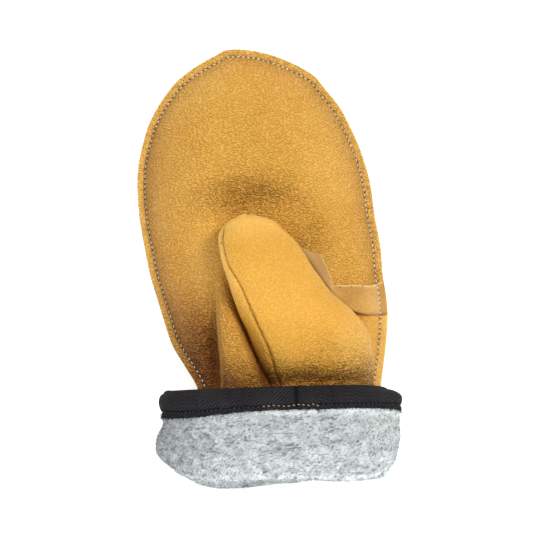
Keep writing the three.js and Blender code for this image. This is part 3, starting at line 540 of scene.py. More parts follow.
def leather(name, light, deep, grain, cell, rough):
    """Pebbled grain: small domes parted by wrinkles, deeper where the skin is creased, with painted shade in the
    gaps and a painted highlight on the domes there.
    """
    s = Shader(name)
    co = s.coords()
    big = s.noise(co, 26.0, 3, 0.5)
    tone = s.ramp(big, (0.36, deep), (0.60, light))
    shake = s.node("VectorMath", {0: s.noise(co, 330.0, 2.0, 0.5, out="Color"), "Scale": 0.0011}, operation="SCALE")
    shaken = s.node("VectorMath", {0: co, 1: shake.outputs[0]}, operation="ADD").outputs[0]
    domes = s.node("TexVoronoi", {"Vector": s.stretched(shaken, (0.75, 1.25, 1.0), 0.6), "Scale": cell,
                                  "Smoothness": 0.08}, feature="SMOOTH_F1")
    pebble = s.ramp(domes.outputs["Distance"], (0.10, grey(1)), (0.42, grey(0.62)), (0.72, grey(0)))
    crease = s.attribute("crease")
    lines = s.noise(s.stretched(shaken, (1.0, 2.4, 1.0), 0.5), 330.0, 3, 0.6, 0.4)
    groove = s.mix(crease, grey(0.6), s.ramp(lines, (0.40, grey(0)), (0.56, grey(1))))
    dark = s.math("SUBTRACT", 1.0, pebble)
    # gaps between the domes: their own darker colour, with painted shade added where creased
    gaps_and_crease_shade = s.math("MULTIPLY", dark, s.line(crease, 0.70, 0.38 * grain), True)
    tone = s.mix(gaps_and_crease_shade, tone, (deep[0] * 0.56, deep[1] * 0.39, deep[2] * 0.25))
    # painted highlight on the domes, stronger where creased
    painted_glint = s.math("MULTIPLY", pebble, s.line(crease, 0.52, 0.22 * grain))
    tone = s.mix(painted_glint, tone, (min(1, light[0] * 1.22), min(1, light[1] * 1.26), light[2] * 1.4))
    # raw edges and places with painted light are paler; painted shade darkens pressed folds and stitch holes, with a
    # lit pebble left between
    tone = s.mix(s.attribute("paler_and_painted_light"), tone, (0.87, 0.52, 0.135))
    painted_shade_amount = s.math("MULTIPLY", s.attribute("painted_shade"), s.line(dark, 0.55, 0.72), True)
    tone = s.mix(painted_shade_amount, tone, (deep[0] * 0.32, deep[1] * 0.17, deep[2] * 0.12))
    raised = s.math("MULTIPLY", pebble, s.line(crease, 2.0, 1.1 * grain))
    return s.done(Base_Color=tone, Roughness=s.ramp(big, (0.3, grey(rough + 0.05)), (0.7, grey(rough - 0.05))),
                  Specular_IOR_Level=0.20, Normal=s.bump(raised, 1.0, 0.00062, s.bump(groove, 0.8, 0.0009)))


def suede(name):
    s = Shader(name)
    co = s.coords()
    nap = s.noise(co, 900.0, 4, 0.7)
    tone = s.ramp(s.noise(co, 60.0, 3, 0.5), (0.30, (0.385, 0.208, 0.050)), (0.66, (0.520, 0.300, 0.080)))
    tone = s.mix(0.35, tone, s.ramp(nap, (0.3, (0.24, 0.18, 0.14)), (0.7, (0.74, 0.70, 0.62))), "OVERLAY")
    tone = s.mix(s.attribute("paler_and_painted_light"), tone, (0.74, 0.50, 0.22))
    # painted shade from the attribute
    tone = s.mix(s.attribute("painted_shade"), tone, (0.10, 0.040, 0.010))
    return s.done(Base_Color=tone, Roughness=0.92, Sheen_Weight=0.25, Specular_IOR_Level=0.2,
                  Normal=s.bump(nap, 0.5, 0.0003))


def twill(name, turn_at):
    """Dark tape: diagonal ribs that lean the other way beyond the lapped joint."""
    s = Shader(name)
    uv = s.node("SeparateXYZ", {0: s.node("UVMap", {}, uv_map="UVMap").outputs[0]})
    u, v = uv.outputs[0], uv.outputs[1]
    co = s.coords()
    side = s.line(s.math("GREATER_THAN", u, turn_at), 2.0, -1.0)
    along = s.line(u, 0.46, s.math("MULTIPLY", s.noise(co, 120.0, 2, 0.5), 0.5))
    lean = s.math("MULTIPLY", s.math("MULTIPLY", v, 0.44), side)
    turn = s.math("FRACT", s.math("ADD", along, lean))
    rib = s.math("MULTIPLY", s.math("PINGPONG", turn, 0.5), 2.0)
    thread = s.math("PINGPONG", s.math("MULTIPLY", v, 2.2), 0.5)
    height = s.math("ADD", rib, s.math("MULTIPLY", thread, 0.3))
    base = s.ramp(rib, (0.30, (0.0040, 0.0037, 0.0045)), (0.52, (0.0165, 0.0150, 0.0170)),
                  (0.85, (0.032, 0.0295, 0.033)))
    fuzz = s.ramp(s.noise(co, 1300.0, 3, 0.6), (0.3, (0.003, 0.003, 0.004)), (0.75, (0.050, 0.047, 0.052)))
    wear = s.ramp(s.noise(co, 70.0, 3, 0.5), (0.4, grey(0.008)), (0.65, (0.07, 0.06, 0.06)))
    base = s.mix(0.10, s.mix(0.25, base, fuzz), wear)
    # painted shade at the lapped joint and the stitch groove
    base = s.mix(s.attribute("painted_shade"), base, (0.0015, 0.0014, 0.0018))
    return s.done(Base_Color=base, Roughness=0.9, Specular_IOR_Level=0.10, Normal=s.bump(height, 0.9, 0.0007))


def fleece(name):
    s = Shader(name)
    nap = s.noise(s.stretched(s.coords(), (0.7, 1.4, 1.2)), 800.0, 4, 0.7, 0.5)
    flecks = s.ramp(nap, (0.30, (0.22, 0.25, 0.25)), (0.70, (0.88, 0.90, 0.91)))
    return s.done(Base_Color=s.mix(0.42, s.attribute("Tint", "Color"), flecks, "OVERLAY"), Roughness=0.97,
                  Sheen_Weight=0.2, Specular_IOR_Level=0.08, Normal=s.bump(nap, 0.9, 0.0012))


def fibre(name):
    s = Shader(name)
    vary = s.ramp(s.noise(s.coords(), 1100.0, 2, 0.6), (0.3, (0.25, 0.28, 0.28)), (0.7, (0.80, 0.84, 0.85)))
    return s.done(Base_Color=s.mix(0.25, s.attribute("Tint", "Color"), vary, "OVERLAY"), Roughness=0.92,
                  Sheen_Weight=0.15, Specular_IOR_Level=0.1)


def thread_material(name, light, dark):
    s = Shader(name)
    ply = s.noise(s.coords(), 1500.0, 2, 0.5)
    return s.done(Base_Color=s.ramp(ply, (0.35, dark), (0.6, light)), Roughness=0.6, Normal=s.bump(ply, 0.4, 0.0002))


LEATHER_PALM = leather("palm leather", (0.722, 0.396, 0.066), (0.644, 0.326, 0.046), 1.0, 850.0, 0.48)
LEATHER_THUMB = leather("thumb leather", (0.630, 0.334, 0.046), (0.586, 0.294, 0.035), 0.50, 850.0, 0.48)
SUEDE = suede("flesh side")
FLEECE = fleece("heathered fleece")
FIBRE = fibre("fleece fibres")
SEAM_THREAD = thread_material("pale seam thread", (0.72, 0.66, 0.55), (0.30, 0.24, 0.17))
# dark colour standing in for the shade inside the needle holes
HOLE_SHADE = thread_material("needle hole shade", (0.060, 0.022, 0.006), (0.030, 0.011, 0.003))
DARK_THREAD = thread_material("dark binding thread", (0.045, 0.043, 0.045), (0.012, 0.011, 0.012))
TAN_THREAD = thread_material("tan binding thread", (0.52, 0.33, 0.17), (0.24, 0.15, 0.08))


# ------------------------------------------------------------------- the leather
def seam_relief(s, d):
    """Groove under the stitches, puckers inside them, slight wave of the free edge."""
    holes = 0.5 + 0.5 * np.cos(2 * math.pi * s / STITCH_PITCH)
    groove = -0.50 * bell(d - STITCH_AT, 0.75) * (0.75 + 0.35 * holes)
    pucker = noise(s / 5.5, d / 14.0, 0.3) * 0.75 + noise(s / 3.0, d / 9.0, 4.1) * 0.3
    inside = smooth(4.6, 6.5, d) * np.exp(-np.maximum(0, d - 6.0) / 5.5)
    edge = noise(s / 9.0, 0.0, 8.8) * 0.45 * smooth(4.5, 0.5, d)
    lip = -0.35 * bell(d, 0.55)
    return groove + pucker * 0.75 * inside + edge + lip


NEAR = np.r_[0, 0.35, 0.8, 1.4, 2.1, 2.8, 3.4, 3.9, 4.3, 4.7, 5.1, 5.6, 6.2, 6.9, 7.7, 8.6]


def panel_grid(side, tip, inner, power):
    """Places, distances from the edge, and run along and across the seam of a leather panel's points."""
    loop = outline(side, tip, WRIST_END)
    xy, depth = fan(loop, NEAR, np.linspace(0, 1, inner)[1:] ** power)
    x, y = xy[..., 0], xy[..., 1]
    return x, y, from_edge(x, y), np.broadcast_to(run(loop[:, :2])[:, None], depth.shape), depth


X, Y, D, S, DEPTH = panel_grid(130, 170, 66, 1.06)


def palm_detail(x, y, d):
    sx, sy = x / PALM_WIDTH, y / BODY_LENGTH
    wave = fbm(x / 26, y / 30, 0.7, 2) * 0.55
    small = fbm(x / 6.0 + 0.3 * noise(x / 9, y / 9, 2), y / 4.2, 3.3, 2) * 0.16
    deep = bell(sx + 0.27, 0.07) * smooth(0.22, 0.02, sy)
    tip = bell2(sx + 0.04, 0.16, sy - 0.55, 0.06)
    folds = noise(x / 9 + y / 14, y / 3.6 - x / 11, 9.2) * 0.55 * deep
    folds += noise(x / 12, y / 3.0, 5.2) * 0.35 * tip
    return (wave + small + folds) * smooth(5, 14, d)


ZP = palm_level(X, Y, True, D) + seam_relief(S, D) + palm_detail(X, Y, D)
SX, SY = X / PALM_WIDTH, Y / BODY_LENGTH
FROM_LEFT = X - read(RIDGE, "y", SY, "left") * PALM_WIDTH
FROM_RIGHT = X - read(RIDGE, "y", SY, "right") * PALM_WIDTH
# left foot, right crevice and lower end of the fold beside the thumb, for its painted shade, and the fold's left
# rim, for a painted highlight
foot_side = np.minimum(0, FROM_LEFT + 0.4)
foot = bell(foot_side, 7.0) * smooth(0.6, -0.4, FROM_LEFT) * smooth(0.36, 0.04, SY)
hollow = np.exp(-(foot_side / 17.0) ** 4) * smooth(0.6, -0.4, FROM_LEFT) * smooth(0.34, 0.08, SY)
painted_rim_highlight = bell(FROM_LEFT - 1.0, 0.6) * smooth(0.30, 0.22, SY)
crevice = bell(FROM_RIGHT - 0.6, 1.7) * smooth(0.33, 0.24, SY)
low_fold = smooth(-0.5, 3.0, FROM_LEFT) * smooth(4, 0, FROM_RIGHT) * smooth(0.10, 0.0, SY)
dent = bell2(SX + 0.09, 0.18, SY - 0.566, 0.056)
dent += 0.45 * bell2(SX - 0.15, 0.07, SY - 0.43, 0.08)
# crease deepens the grain and sets the painted shade between pebbles and the painted highlight on them
crease = 0.12 + 0.48 * dent + 0.35 * foot + 0.40 * hollow + 0.80 * low_fold
crease += 0.25 * bell(SX + 0.27, 0.10) * smooth(0.30, 0.05, SY)
crease = np.clip(crease + 0.16 * smooth(16, 6, D), 0, 1)
below_strip = smooth(0.30, 0.34, SX) * smooth(0.25, 0.22, SY)
crease = crease - (crease + 0.24) * below_strip
# painted shade: in the stitch groove and a band inside it, in the dents beside the thumb, at the fold's foot,
# crevice, top and lower end, on the lower left and left side of the palm, and under the crotch strip
painted_shade = 0.26 * bell(D - STITCH_AT - 0.2, 0.6) + 0.10 * smooth(12, 5.5, D) * smooth(4.4, 5.5, D)
on_fold = smooth(-0.5, 2.0, FROM_LEFT) * smooth(3, 0, FROM_RIGHT) * smooth(0.36, 0.26, SY)
left_low = bell(SX + 0.34, 0.09) * smooth(0.46, 0.16, SY)
painted_shade = (painted_shade + 0.22 * dent + 0.42 * foot + 0.60 * hollow + 0.72 * crevice + 0.46 * low_fold + 0.25 * on_fold
        + 0.44 * left_low)
painted_shade += 0.13 * bell(SX + 0.43, 0.08) * smooth(0.85, 0.45, SY)
painted_shade += below_strip * (0.10 + 0.30 * smooth(0.12, 0.23, SY) * smooth(0.44, 0.33, SX))
# paler: raw cut edges; painted light on the fold's left rim, on the flange and on the palm left of the thumb
paler_and_painted_light = np.clip(0.75 * bell(DEPTH, 0.45) + 0.26 * painted_rim_highlight + 0.44 * smooth(4.1, 3.2, D), 0, 1)
paler_and_painted_light += 0.27 * bell2(SX + 0.25, 0.07, SY - 0.40, 0.09)


def thumb_sections(t, cap):
    g = lambda c: read(THUMB, "at", t, c)
    L = np.stack([g("lx") * PALM_WIDTH, g("ly") * BODY_LENGTH], -1)
    R = np.stack([g("rx") * PALM_WIDTH, g("ry") * BODY_LENGTH], -1)
    mid = (L + R) / 2
    across = R - L
    half = np.linalg.norm(across, axis=-1) / 2
    across = across / (2 * half[..., None])
    ahead = np.stack([-across[..., 1], across[..., 0]], -1)
    mid += ahead * (THUMB_CAP * np.sin(cap))[..., None]
    low, high = g("low"), g("high")
    return mid, (low + high) / 2, across, half * np.cos(cap), (high - low) / 2 * np.cos(cap)


# the palm is open under the thumb, inside the footprint of its sections
def in_footprint(x, y, margin):
    t = np.linspace(0.15, 7.0, 60)
    mid, _, across, half, _ = thumb_sections(t, np.zeros_like(t))
    L = mid - across * (half - margin)[:, None]
    R = mid + across * (half - margin)[:, None]
    poly = np.vstack([L, R[::-1]])
    x1, y1 = poly[:, 0], poly[:, 1]
    x2, y2 = np.roll(x1, -1), np.roll(y1, -1)
    hit = np.zeros(x.shape, bool)
    for a, b, c, e in zip(x1, y1, x2, y2):
        if b == e:
            continue
        cross = ((b > y) != (e > y)) & (x < (c - a) * (y - b) / (e - b) + a)
        hit ^= cross
    return hit


def face_mean(a):
    return (a[:-1, :-1] + a[1:, :-1] + a[1:, 1:] + a[:-1, 1:]) / 4


def under_thumb(x, y, margin):
    x, y = face_mean(x), face_mean(y)
    return in_footprint(x, y, margin) & (y < 0.33 * BODY_LENGTH)


palm = grid_object("palm_leather", np.dstack([X, Y, ZP]), uv=np.dstack([S, DEPTH]), keep=~under_thumb(X, Y, 8.0),
                   attrs={"crease": crease, "painted_shade": np.clip(painted_shade, 0, 1), "paler_and_painted_light": paler_and_painted_light})
face_up(palm, True)
dress(palm, LEATHER, LEATHER_PALM)

# back of the hand, lying flat on the floor
XB, YB, DB, SB, DEPTH_B = panel_grid(100, 140, 32, 1.1)
ZB = back_level(XB, YB, DB)
lift = np.abs(fbm(XB / 14, YB / 18, 6.1, 2)) * 0.35 * smooth(30, 10, DB) * smooth(5, 9, DB)
ZB = np.maximum(0.0, ZB - seam_relief(SB, DB) * 0.8 + lift)
# painted shade along the stitch groove; paler raw cut edges
back = grid_object("back_leather", np.dstack([XB, YB, ZB]), uv=np.dstack([SB, DEPTH_B]),
                   attrs={"crease": np.clip(0.2 + 0.3 * smooth(20, 6, DB), 0, 1),
                          "painted_shade": 0.3 * bell(DB - STITCH_AT, 0.8),
                          "paler_and_painted_light": np.clip(0.75 * bell(DEPTH_B, 0.45), 0, 1)})
face_up(back, False)
dress(back, LEATHER, LEATHER_PALM)


# ---------------------------------------------------------------------- thumb
def superround(a, power):
    c, s = np.cos(a), np.sin(a)
    return np.sign(c) * np.abs(c) ** (2 / power), np.sign(s) * np.abs(s) ** (2 / power)


SEAM_SIDE = table("at left right", [
    (0, 138.5, -80), (1, 138.5, -80), (2, 139.5, -78), (3, 136, -62), (4, 138.5, -46), (5, 136, -34), (6, 139, -30),
    (6.5, 145.5, -28), (7, 151.5, -26), (8, 151, -20), (9, 151, -18), (10, 159, -16),
    (11, 171, -15), (12, 180, -14), (14, 182, -14)])


def thumb_surface(rows, cap_rows, cols, which):
    t = np.r_[np.linspace(0, 8, rows), np.linspace(8, 12, cap_rows - 7)[1:], np.full(8, 12.0)]
    cap = np.r_[np.zeros(rows + cap_rows - 8), np.linspace(0, math.pi / 2 - 0.02, 9)[1:]]
    mid, zc, across, half, tall = thumb_sections(t, cap)
    share = t + cap
    left = np.radians(read(SEAM_SIDE, "at", share, "left"))
    right = np.radians(read(SEAM_SIDE, "at", share, "right"))
    k = np.linspace(0, 1, cols)[None, :]
    if which == "front":
        a = right[:, None] + (left - right)[:, None] * k
    else:
        a = left[:, None] + (2 * math.pi + right - left)[:, None] * k
    c, s = superround(a, THUMB_SQUARE)
    P = np.empty(a.shape + (3,))
    P[..., 0] = mid[:, None, 0] + across[:, None, 0] * half[:, None] * c
    P[..., 1] = mid[:, None, 1] + across[:, None, 1] * half[:, None] * c
    P[..., 2] = zc[:, None] + tall[:, None] * s
    return P, share


def thumb_piece(name, which, rows, cap_rows, cols):
    P, share = thumb_surface(rows, cap_rows, cols, which)
    N = grid_normals(P)
    centre = P.mean(axis=1, keepdims=True)
    if (N * (P - centre)).sum() < 0:
        N = -N
    girth = run_across(P)
    to_left = (girth[:, -1:] - girth) if which == "front" else girth
    to_right = girth if which == "front" else (girth[:, -1:] - girth)
    length = run(P[:, cols // 2])[:, None]
    x, y, z = P[..., 0], P[..., 1], P[..., 2]
    sx, sy = x / PALM_WIDTH, y / BODY_LENGTH
    # both seams turn inward, with slight puckers across them
    tuck = -1.15 * bell(to_left, 1.25) - 1.0 * bell(to_right, 1.25)
    near = np.exp(-np.minimum(to_left, to_right) / 4.0)
    pucker = noise(length / 4.0, to_left / 9, 2.2) * 0.35 * near
    wave = fbm(x / 22, y / 24, z / 22, 2) * 0.45
    small = fbm(x / 6, y / 5, z / 6, 2) * 0.10
    # creases where the heel is pressed under the binding
    pinch = bell(sy - 0.024, 0.020)
    folds = -1.9 * pinch * (0.75 + 0.5 * noise(x / 16, 0.3, 1.1))
    folds += 0.30 * noise(x / 9, y / 3.6 + x / 30, 3.4) * bell(sy - 0.04, 0.05)
    heel = 0.40 * noise(x / 9 + y / 7, y / 5.5 - x / 12, 7.7)
    heel = heel * smooth(0.26, 0.08, sy) * smooth(0.12, 0.30, sx)
    top = np.clip(N[..., 2], 0, 1)
    shift = tuck + pucker + wave + small + (folds + heel) * top
    shift = shift * np.clip(np.minimum(1, (len(P) - 1 - np.arange(len(P)))[:, None] / 8 + 0.1), 0, 1)
    Q = P + N * shift[..., None]
    under = Q[..., 2] < palm_level(Q[..., 0], Q[..., 1]) - 1.2
    keep = ~(under[:-1, :-1] & under[1:, :-1] & under[1:, 1:] & under[:-1, 1:])
    keep |= face_mean(share[:, None] + 0 * x) > 7.2
    # crease deepens the grain and sets the painted shade between its pebbles and the painted highlight on them;
    # painted shade along both seams and in the pinch under the binding, on the back piece lower down and where it
    # meets the palm, and in three small spots; paler towards the tip, with painted light on the heel
    crease = 0.06 + 0.85 * bell(sy - 0.02, 0.045) + 0.30 * smooth(0.26, 0.06, sy) * smooth(0.05, 0.26, sx)
    crease += 0.16 * smooth(0.22, 0.06, sy)
    painted_shade = 0.38 * bell(to_left, 0.7) + 0.4 * bell(to_right, 0.8)
    painted_shade += 0.75 * bell(sy - 0.024, 0.031) * (0.80 + 0.6 * noise(x / 7, y / 3, 5.5))
    paler_and_painted_light = 0.42 * smooth(0.40, 0.52, sy) + 0.30 * smooth(0.30, 0.14, sy) * smooth(0.20, 0.34, sx)
    if which == "back":
        painted_shade = painted_shade + 0.02 + 0.24 * smooth(0.34, 0.04, sy)
        painted_shade += 0.6 * bell(z - palm_level(x, y), 2.2) * smooth(0.40, 0.30, sy)
        paler_and_painted_light = 0.40 * smooth(0.22, 0.40, sy)
        for pixel in ((225, 229), (222, 236), (221, 243)):
            painted_shade += 0.8 * spot(x, y, pixel, 0.14)
    ob = grid_object(name, Q, uv=np.dstack([np.broadcast_to(length, girth.shape), girth]), keep=keep,
                     attrs={"crease": np.clip(crease, 0, 1), "painted_shade": np.clip(painted_shade, 0, 1), "paler_and_painted_light": paler_and_painted_light})
    face_up(ob, centre=to_m([np.mean(x), np.mean(y), np.mean(z)]))
    dress(ob, LEATHER, LEATHER_THUMB)
    return ob


thumb_a = thumb_piece("thumb_front_leather", "front", THUMB_ROWS, THUMB_CAP_ROWS, 130)
thumb_b = thumb_piece("thumb_back_leather", "back", THUMB_ROWS, THUMB_CAP_ROWS, 90)


# ------------------------------------------------------------- crotch strip
def welt_grid(rows, cols, lift):
    at = np.linspace(0, 6, rows)[:, None]
    t = np.linspace(0, 1, cols)[None, :]
    g = lambda c: read(WELT, "at", at, c)
    x = (g("ax") + (g("bx") - g("ax")) * t) * PALM_WIDTH
    y = (g("ay") + (g("by") - g("ay")) * t) * BODY_LENGTH
    rise = g("riseA") + (g("riseB") - g("riseA")) * t
    base = palm_level(x, y) + CLEARANCE
    curl = 0.35 * bell(1 - t, 0.08) * smooth(0.2, 1.0, at)
    wave = noise(at * 1.6, t * 1.3, 4.4) * 0.35
    return np.dstack([x, y, base + rise + lift + curl + wave]), at + 0 * t, t + 0 * at


WP, WA, WT = welt_grid(170, 30, WELT_THICKNESS)
edge = np.clip(bell(1 - WT, 0.045) + bell(WT, 0.03) * 0.4, 0, 1)
# dark spots of painted shade at the needle holes, which also break the pale edge
holes = np.zeros_like(WT)
for pixel in ((339, 287), (350.5, 286), (361.5, 286), (371, 284.5)):
    holes = np.maximum(holes, spot(WP[..., 0], WP[..., 1], pixel, 0.16))
edge = edge * (1 - holes) * 0.8
# painted shade where the strip runs under the thumb, on its lower half there, and along its lower edge
shade = 0.22 * smooth(3.2, 4.2, WA) + 0.45 * smooth(2.2, 2.9, WA) * smooth(0.5, 0.0, WT)
shade += 0.5 * bell(WT - 0.02, 0.035)
welt = grid_object("crotch_strip", WP, uv=np.dstack([WA * 12, WT * 17]),
                   attrs={"paler_and_painted_light": edge, "painted_shade": np.clip(holes + shade, 0, 1)})
face_up(welt, True)
dress(welt, WELT_THICKNESS * 0.92, SUEDE)


# ----------------------------------------------------------------------- cuff
def cuff_point(theta, y, outward):
    deg = np.degrees(theta) % 360
    left, right = read(CUFF, "y", y, "left") * PALM_WIDTH, read(CUFF, "y", y, "right") * PALM_WIDTH
    low, high = read(CUFF, "y", y, "low"), read(CUFF, "y", y, "high")
    c, s = superround(theta, CUFF_SQUARE)
    folded = smooth(0.08, 0.25, -np.asarray(y))
    wave = read(FOLD, "at", deg, "wave") * folded
    reach = read(FOLD, "at", deg, "reach") * folded
    tilt = (CUFF_TILT * c + CUFF_SLANT * np.minimum(0, s)) * (1 - folded)
    x = (left + right) / 2 + ((right - left) / 2 + outward + wave) * c
    z = np.maximum(0, (low + high) / 2 + ((high - low) / 2 + outward + wave) * s)
    return np.stack(np.broadcast_arrays(x, (y + tilt - reach) * BODY_LENGTH, z), -1)


def tape_ring(count):
    th = np.linspace(0, 2 * math.pi, count, endpoint=False)
    deg = np.degrees(th)
    turned = (deg + 180) % 360 - 180
    joint = smooth(TAPE_JOINT_FROM - 1.2, TAPE_JOINT_FROM, deg) * (
        1 - smooth(TAPE_JOINT_FROM + TAPE_JOINT_LENGTH - 0.4, TAPE_JOINT_FROM + TAPE_JOINT_LENGTH + 0.3, deg))
    extra = TAPE_JOINT_STEP * joint
    lip = noise(deg / 2.3, 0.0, 5.5) * 0.75 + noise(deg / 0.9, 0.0, 2.5) * 0.40
    down = read(TAPE_REACH, "at", deg, "down") - lip / BODY_LENGTH
    low = CUFF_TOP - down
    in_top = -2.6 - EDGE_ROOM - CLEARANCE
    in_low = -read(CUFF, "y", low, "thick") - EDGE_ROOM - CLEARANCE
    to_right = bell(turned, 38)
    to_left = bell(np.abs(turned) - 180, 34)
    radius = 0.6 + 7.4 * to_right + 2.4 * to_left
    drop = 2.3 * bell(turned, 45) + 1.5 * bell(np.abs(turned) - 180, 55)

    def corner(k):
        e = np.clip((radius - down * BODY_LENGTH * (1 - k)) / radius, 0, 1)
        round_off = np.minimum(radius * (1 - np.sqrt(1 - e * e)), 0.72 * radius)
        return round_off - 1.5 * to_left * k * k + 0.4 * to_right * k

    rows = []

    def put(y, out, push):
        p = cuff_point(th, y, out)
        p[:, 1] += push
        rows.append(p)

    wob = noise(deg / 9, 0.0, 3.1) * 0.35
    put(low + 0.0006, extra - 1.3, 0.2)
    put(low, extra - 0.6, -0.25)
    put(low, extra - 0.15, 0.0)
    for k in np.linspace(0.03, 0.93, 24):
        belly = 0.55 * math.sin(math.pi * min(1, max(0, (k - 0.16) / 0.8))) if k > 0.16 else 0.0
        dent = -0.85 * math.exp(-((k - 0.19) / 0.05) ** 2)
        pull = 0.25 * np.cos(2 * math.pi * deg / 2.4) * math.exp(-((k - 0.22) / 0.07) ** 2)
        ragged = (noise(deg / 1.1, k * 9, 7.5) * 0.55 + noise(deg / 0.6, k * 14, 1.5) * 0.3) * (k < 0.16)
        out = extra + belly + dent + pull + ragged + wob * math.sin(math.pi * k) - corner(k)
        put(low + down * k, out, -drop * k ** 3)
    for a in np.linspace(0, math.pi, 9):
        c, s = math.cos(a), math.sin(a)
        midw = (extra + in_top - TAPE) / 2
        halfw = (extra - in_top + TAPE) / 2
        put(CUFF_TOP - 0.004, midw + halfw * c - corner(0.97) * (0.5 + 0.5 * c),
            0.3 + 2.0 * s * (1 - 0.85 * bell(turned, 24)) - drop)
    for k in np.linspace(0.9, 0.0, 6):
        put(low + down * k, (in_top - TAPE) * k + (in_low - TAPE) * (1 - k), -drop * k ** 3)
    put(low, in_low, 0.3)
    P = np.stack(rows, 1)
    V = run_across(P)
    U = run(P[:, 14])
    turn_at = float(np.interp(TAPE_JOINT_FROM + TAPE_JOINT_LENGTH, deg, U))
    return P, np.dstack([np.broadcast_to(U[:, None], V.shape), V]), turn_at


TP, TUV, TURN = tape_ring(TAPE_STEPS)
TWILL = twill("twill tape", TURN)
TDEG = np.linspace(0, 360, TAPE_STEPS, endpoint=False)[:, None]
# painted shade at both ends of the lapped joint and in the groove along the stitches
lapped = bell(TDEG - TAPE_JOINT_FROM - TAPE_JOINT_LENGTH, 0.55) + 0.45 * bell(TDEG - TAPE_JOINT_FROM + 0.8, 0.5)
groove = 0.75 * bell(np.arange(TP.shape[1])[None, :] - 8.0, 1.1)
tape = grid_object("cuff_tape", TP, uv=TUV, wrap=True, attrs={"painted_shade": np.clip(lapped + groove, 0, 1)})
centre_cuff = to_m([(-0.43 + 0.51) / 2 * PALM_WIDTH, -0.03 * BODY_LENGTH, 33])


def face_out(ob, probe):
    """Turn the surface so that one of its polygons looks away from the cuff's middle."""
    poly = ob.data.polygons[probe]
    if sum(poly.normal[k] * (poly.center[k] - centre_cuff[k]) for k in (0, 2)) < 0:
        ob.data.flip_normals()


face_out(tape, 8)
dress(tape, 0.55, TWILL)


# ------------------------------------------------------------ fleece of the cuff
def hollow_ring(theta, sy):
    """Radius of the lining's hollow at a section, seen from its middle."""
    flare = MOUTH_FLARE * smooth(0.2, 0.262, -sy)
    inset = FLANGE + 4 + FLEECE_BAG - flare
    depth = LEATHER + CLEARANCE + BAG_EASE + FLEECE_BAG - flare
    xs = np.linspace(left_edge(sy) + inset, right_edge(sy) - inset, 80)
    y = np.full_like(xs, sy * BODY_LENGTH)
    top = palm_level(xs, y, False) - depth * 1.05
    low = back_level(xs, y) + depth * 1.05
    low = np.minimum(low, top - 1.2)
    px, pz = np.r_[xs, xs[::-1]], np.r_[top, low[::-1]]
    cx, cz = xs.mean(), (top.mean() + low.mean()) / 2
    ang = np.arctan2(pz - cz, px - cx)
    rad = np.hypot(pz - cz, px - cx)
    order = np.argsort(ang)
    ang, rad = ang[order], rad[order]
    ang = np.r_[ang - 2 * math.pi, ang, ang + 2 * math.pi]
    rad = np.r_[rad, rad, rad]
    th = (theta + math.pi) % (2 * math.pi) - math.pi
    r = np.interp(th, ang, rad)
    for _ in range(60):
        r = (np.roll(r, 1) + r + np.roll(r, -1)) / 3
    return np.stack([cx + r * np.cos(th), np.full_like(th, sy * BODY_LENGTH), cz + r * np.sin(th)], -1)


def cuff_grid(count, outer_rows, roll_rows, in_rows):
    th = np.linspace(0, 2 * math.pi, count, endpoint=False)
    deg = np.degrees(th)
    tape_low = CUFF_TOP - read(TAPE_REACH, "at", deg, "down")
    rows = [cuff_point(th, y, -(TAPE + 0.9) * smooth(-0.004, 0.008, y - tape_low))
            for y in np.linspace(CUFF_TOP - 0.036, ROLL_AT, outer_rows)]
    end = rows[-1]
    reach = read(FOLD, "at", deg, "reach") * BODY_LENGTH
    angle = np.arctan2(end[:, 2] - 30, end[:, 0] - 0.07 * PALM_WIDTH)
    rings = []
    for sy in np.linspace(ROLL_AT, -0.12, in_rows):
        ring = hollow_ring(angle, sy)
        ring[:, 1] -= reach * smooth(-0.13, ROLL_AT, sy)
        rings.append(ring)
    M = rings[0]
    for a in np.linspace(0, math.pi, roll_rows + 2)[1:-1]:
        e = (1 - math.cos(a)) / 2
        p = end * (1 - e) + M * e
        p[:, 1] -= ROLL_DEEP * math.sin(a)
        rows.append(p)
    rows += rings
    return np.stack(rows, 1), th


def heather_and_painted_light(p):
    """Light grey wool with dark green grey flecks drawn out across the cuff; painted shade darkens it towards the
    left and painted light brightens the low front of the roll.
    """
    x, y, z = p[..., 0], p[..., 1], p[..., 2]
    bend = 1.6 * noise(x / 6, y / 6, z / 6)
    streak = noise(x / 1.5 + bend, y / 0.72 + 1.5 * bend, z / 1.2)
    patch = fbm(x / 6.0, y / 4.5, z / 6.0, 2)
    flecks = smooth(0.18, 0.46, streak + 0.34 * patch)
    tiny = smooth(0.18, 0.50, noise(x / 0.8 + 9, y / 0.6, z / 0.8))
    light = np.array([0.490, 0.515, 0.520])
    pale = np.array([0.630, 0.650, 0.648])
    dark = np.array([0.070, 0.100, 0.098])
    base = light + (pale - light) * smooth(-0.35, 0.35, fbm(x / 6 + 31, y / 4, z / 6, 2))[..., None]
    gaps_and_crease_shade = np.clip(0.70 * flecks + 0.30 * tiny, 0, 0.90)[..., None]
    # painted shade towards the left side, painted light on the low front of the roll
    return (base * (1 - gaps_and_crease_shade) + dark * gaps_and_crease_shade) * ((1 - 0.22 * smooth(-0.20, -0.42, x / PALM_WIDTH))
        * (1 + 0.20 * smooth(-43, -51, y) * smooth(10, 24, z)))[..., None]


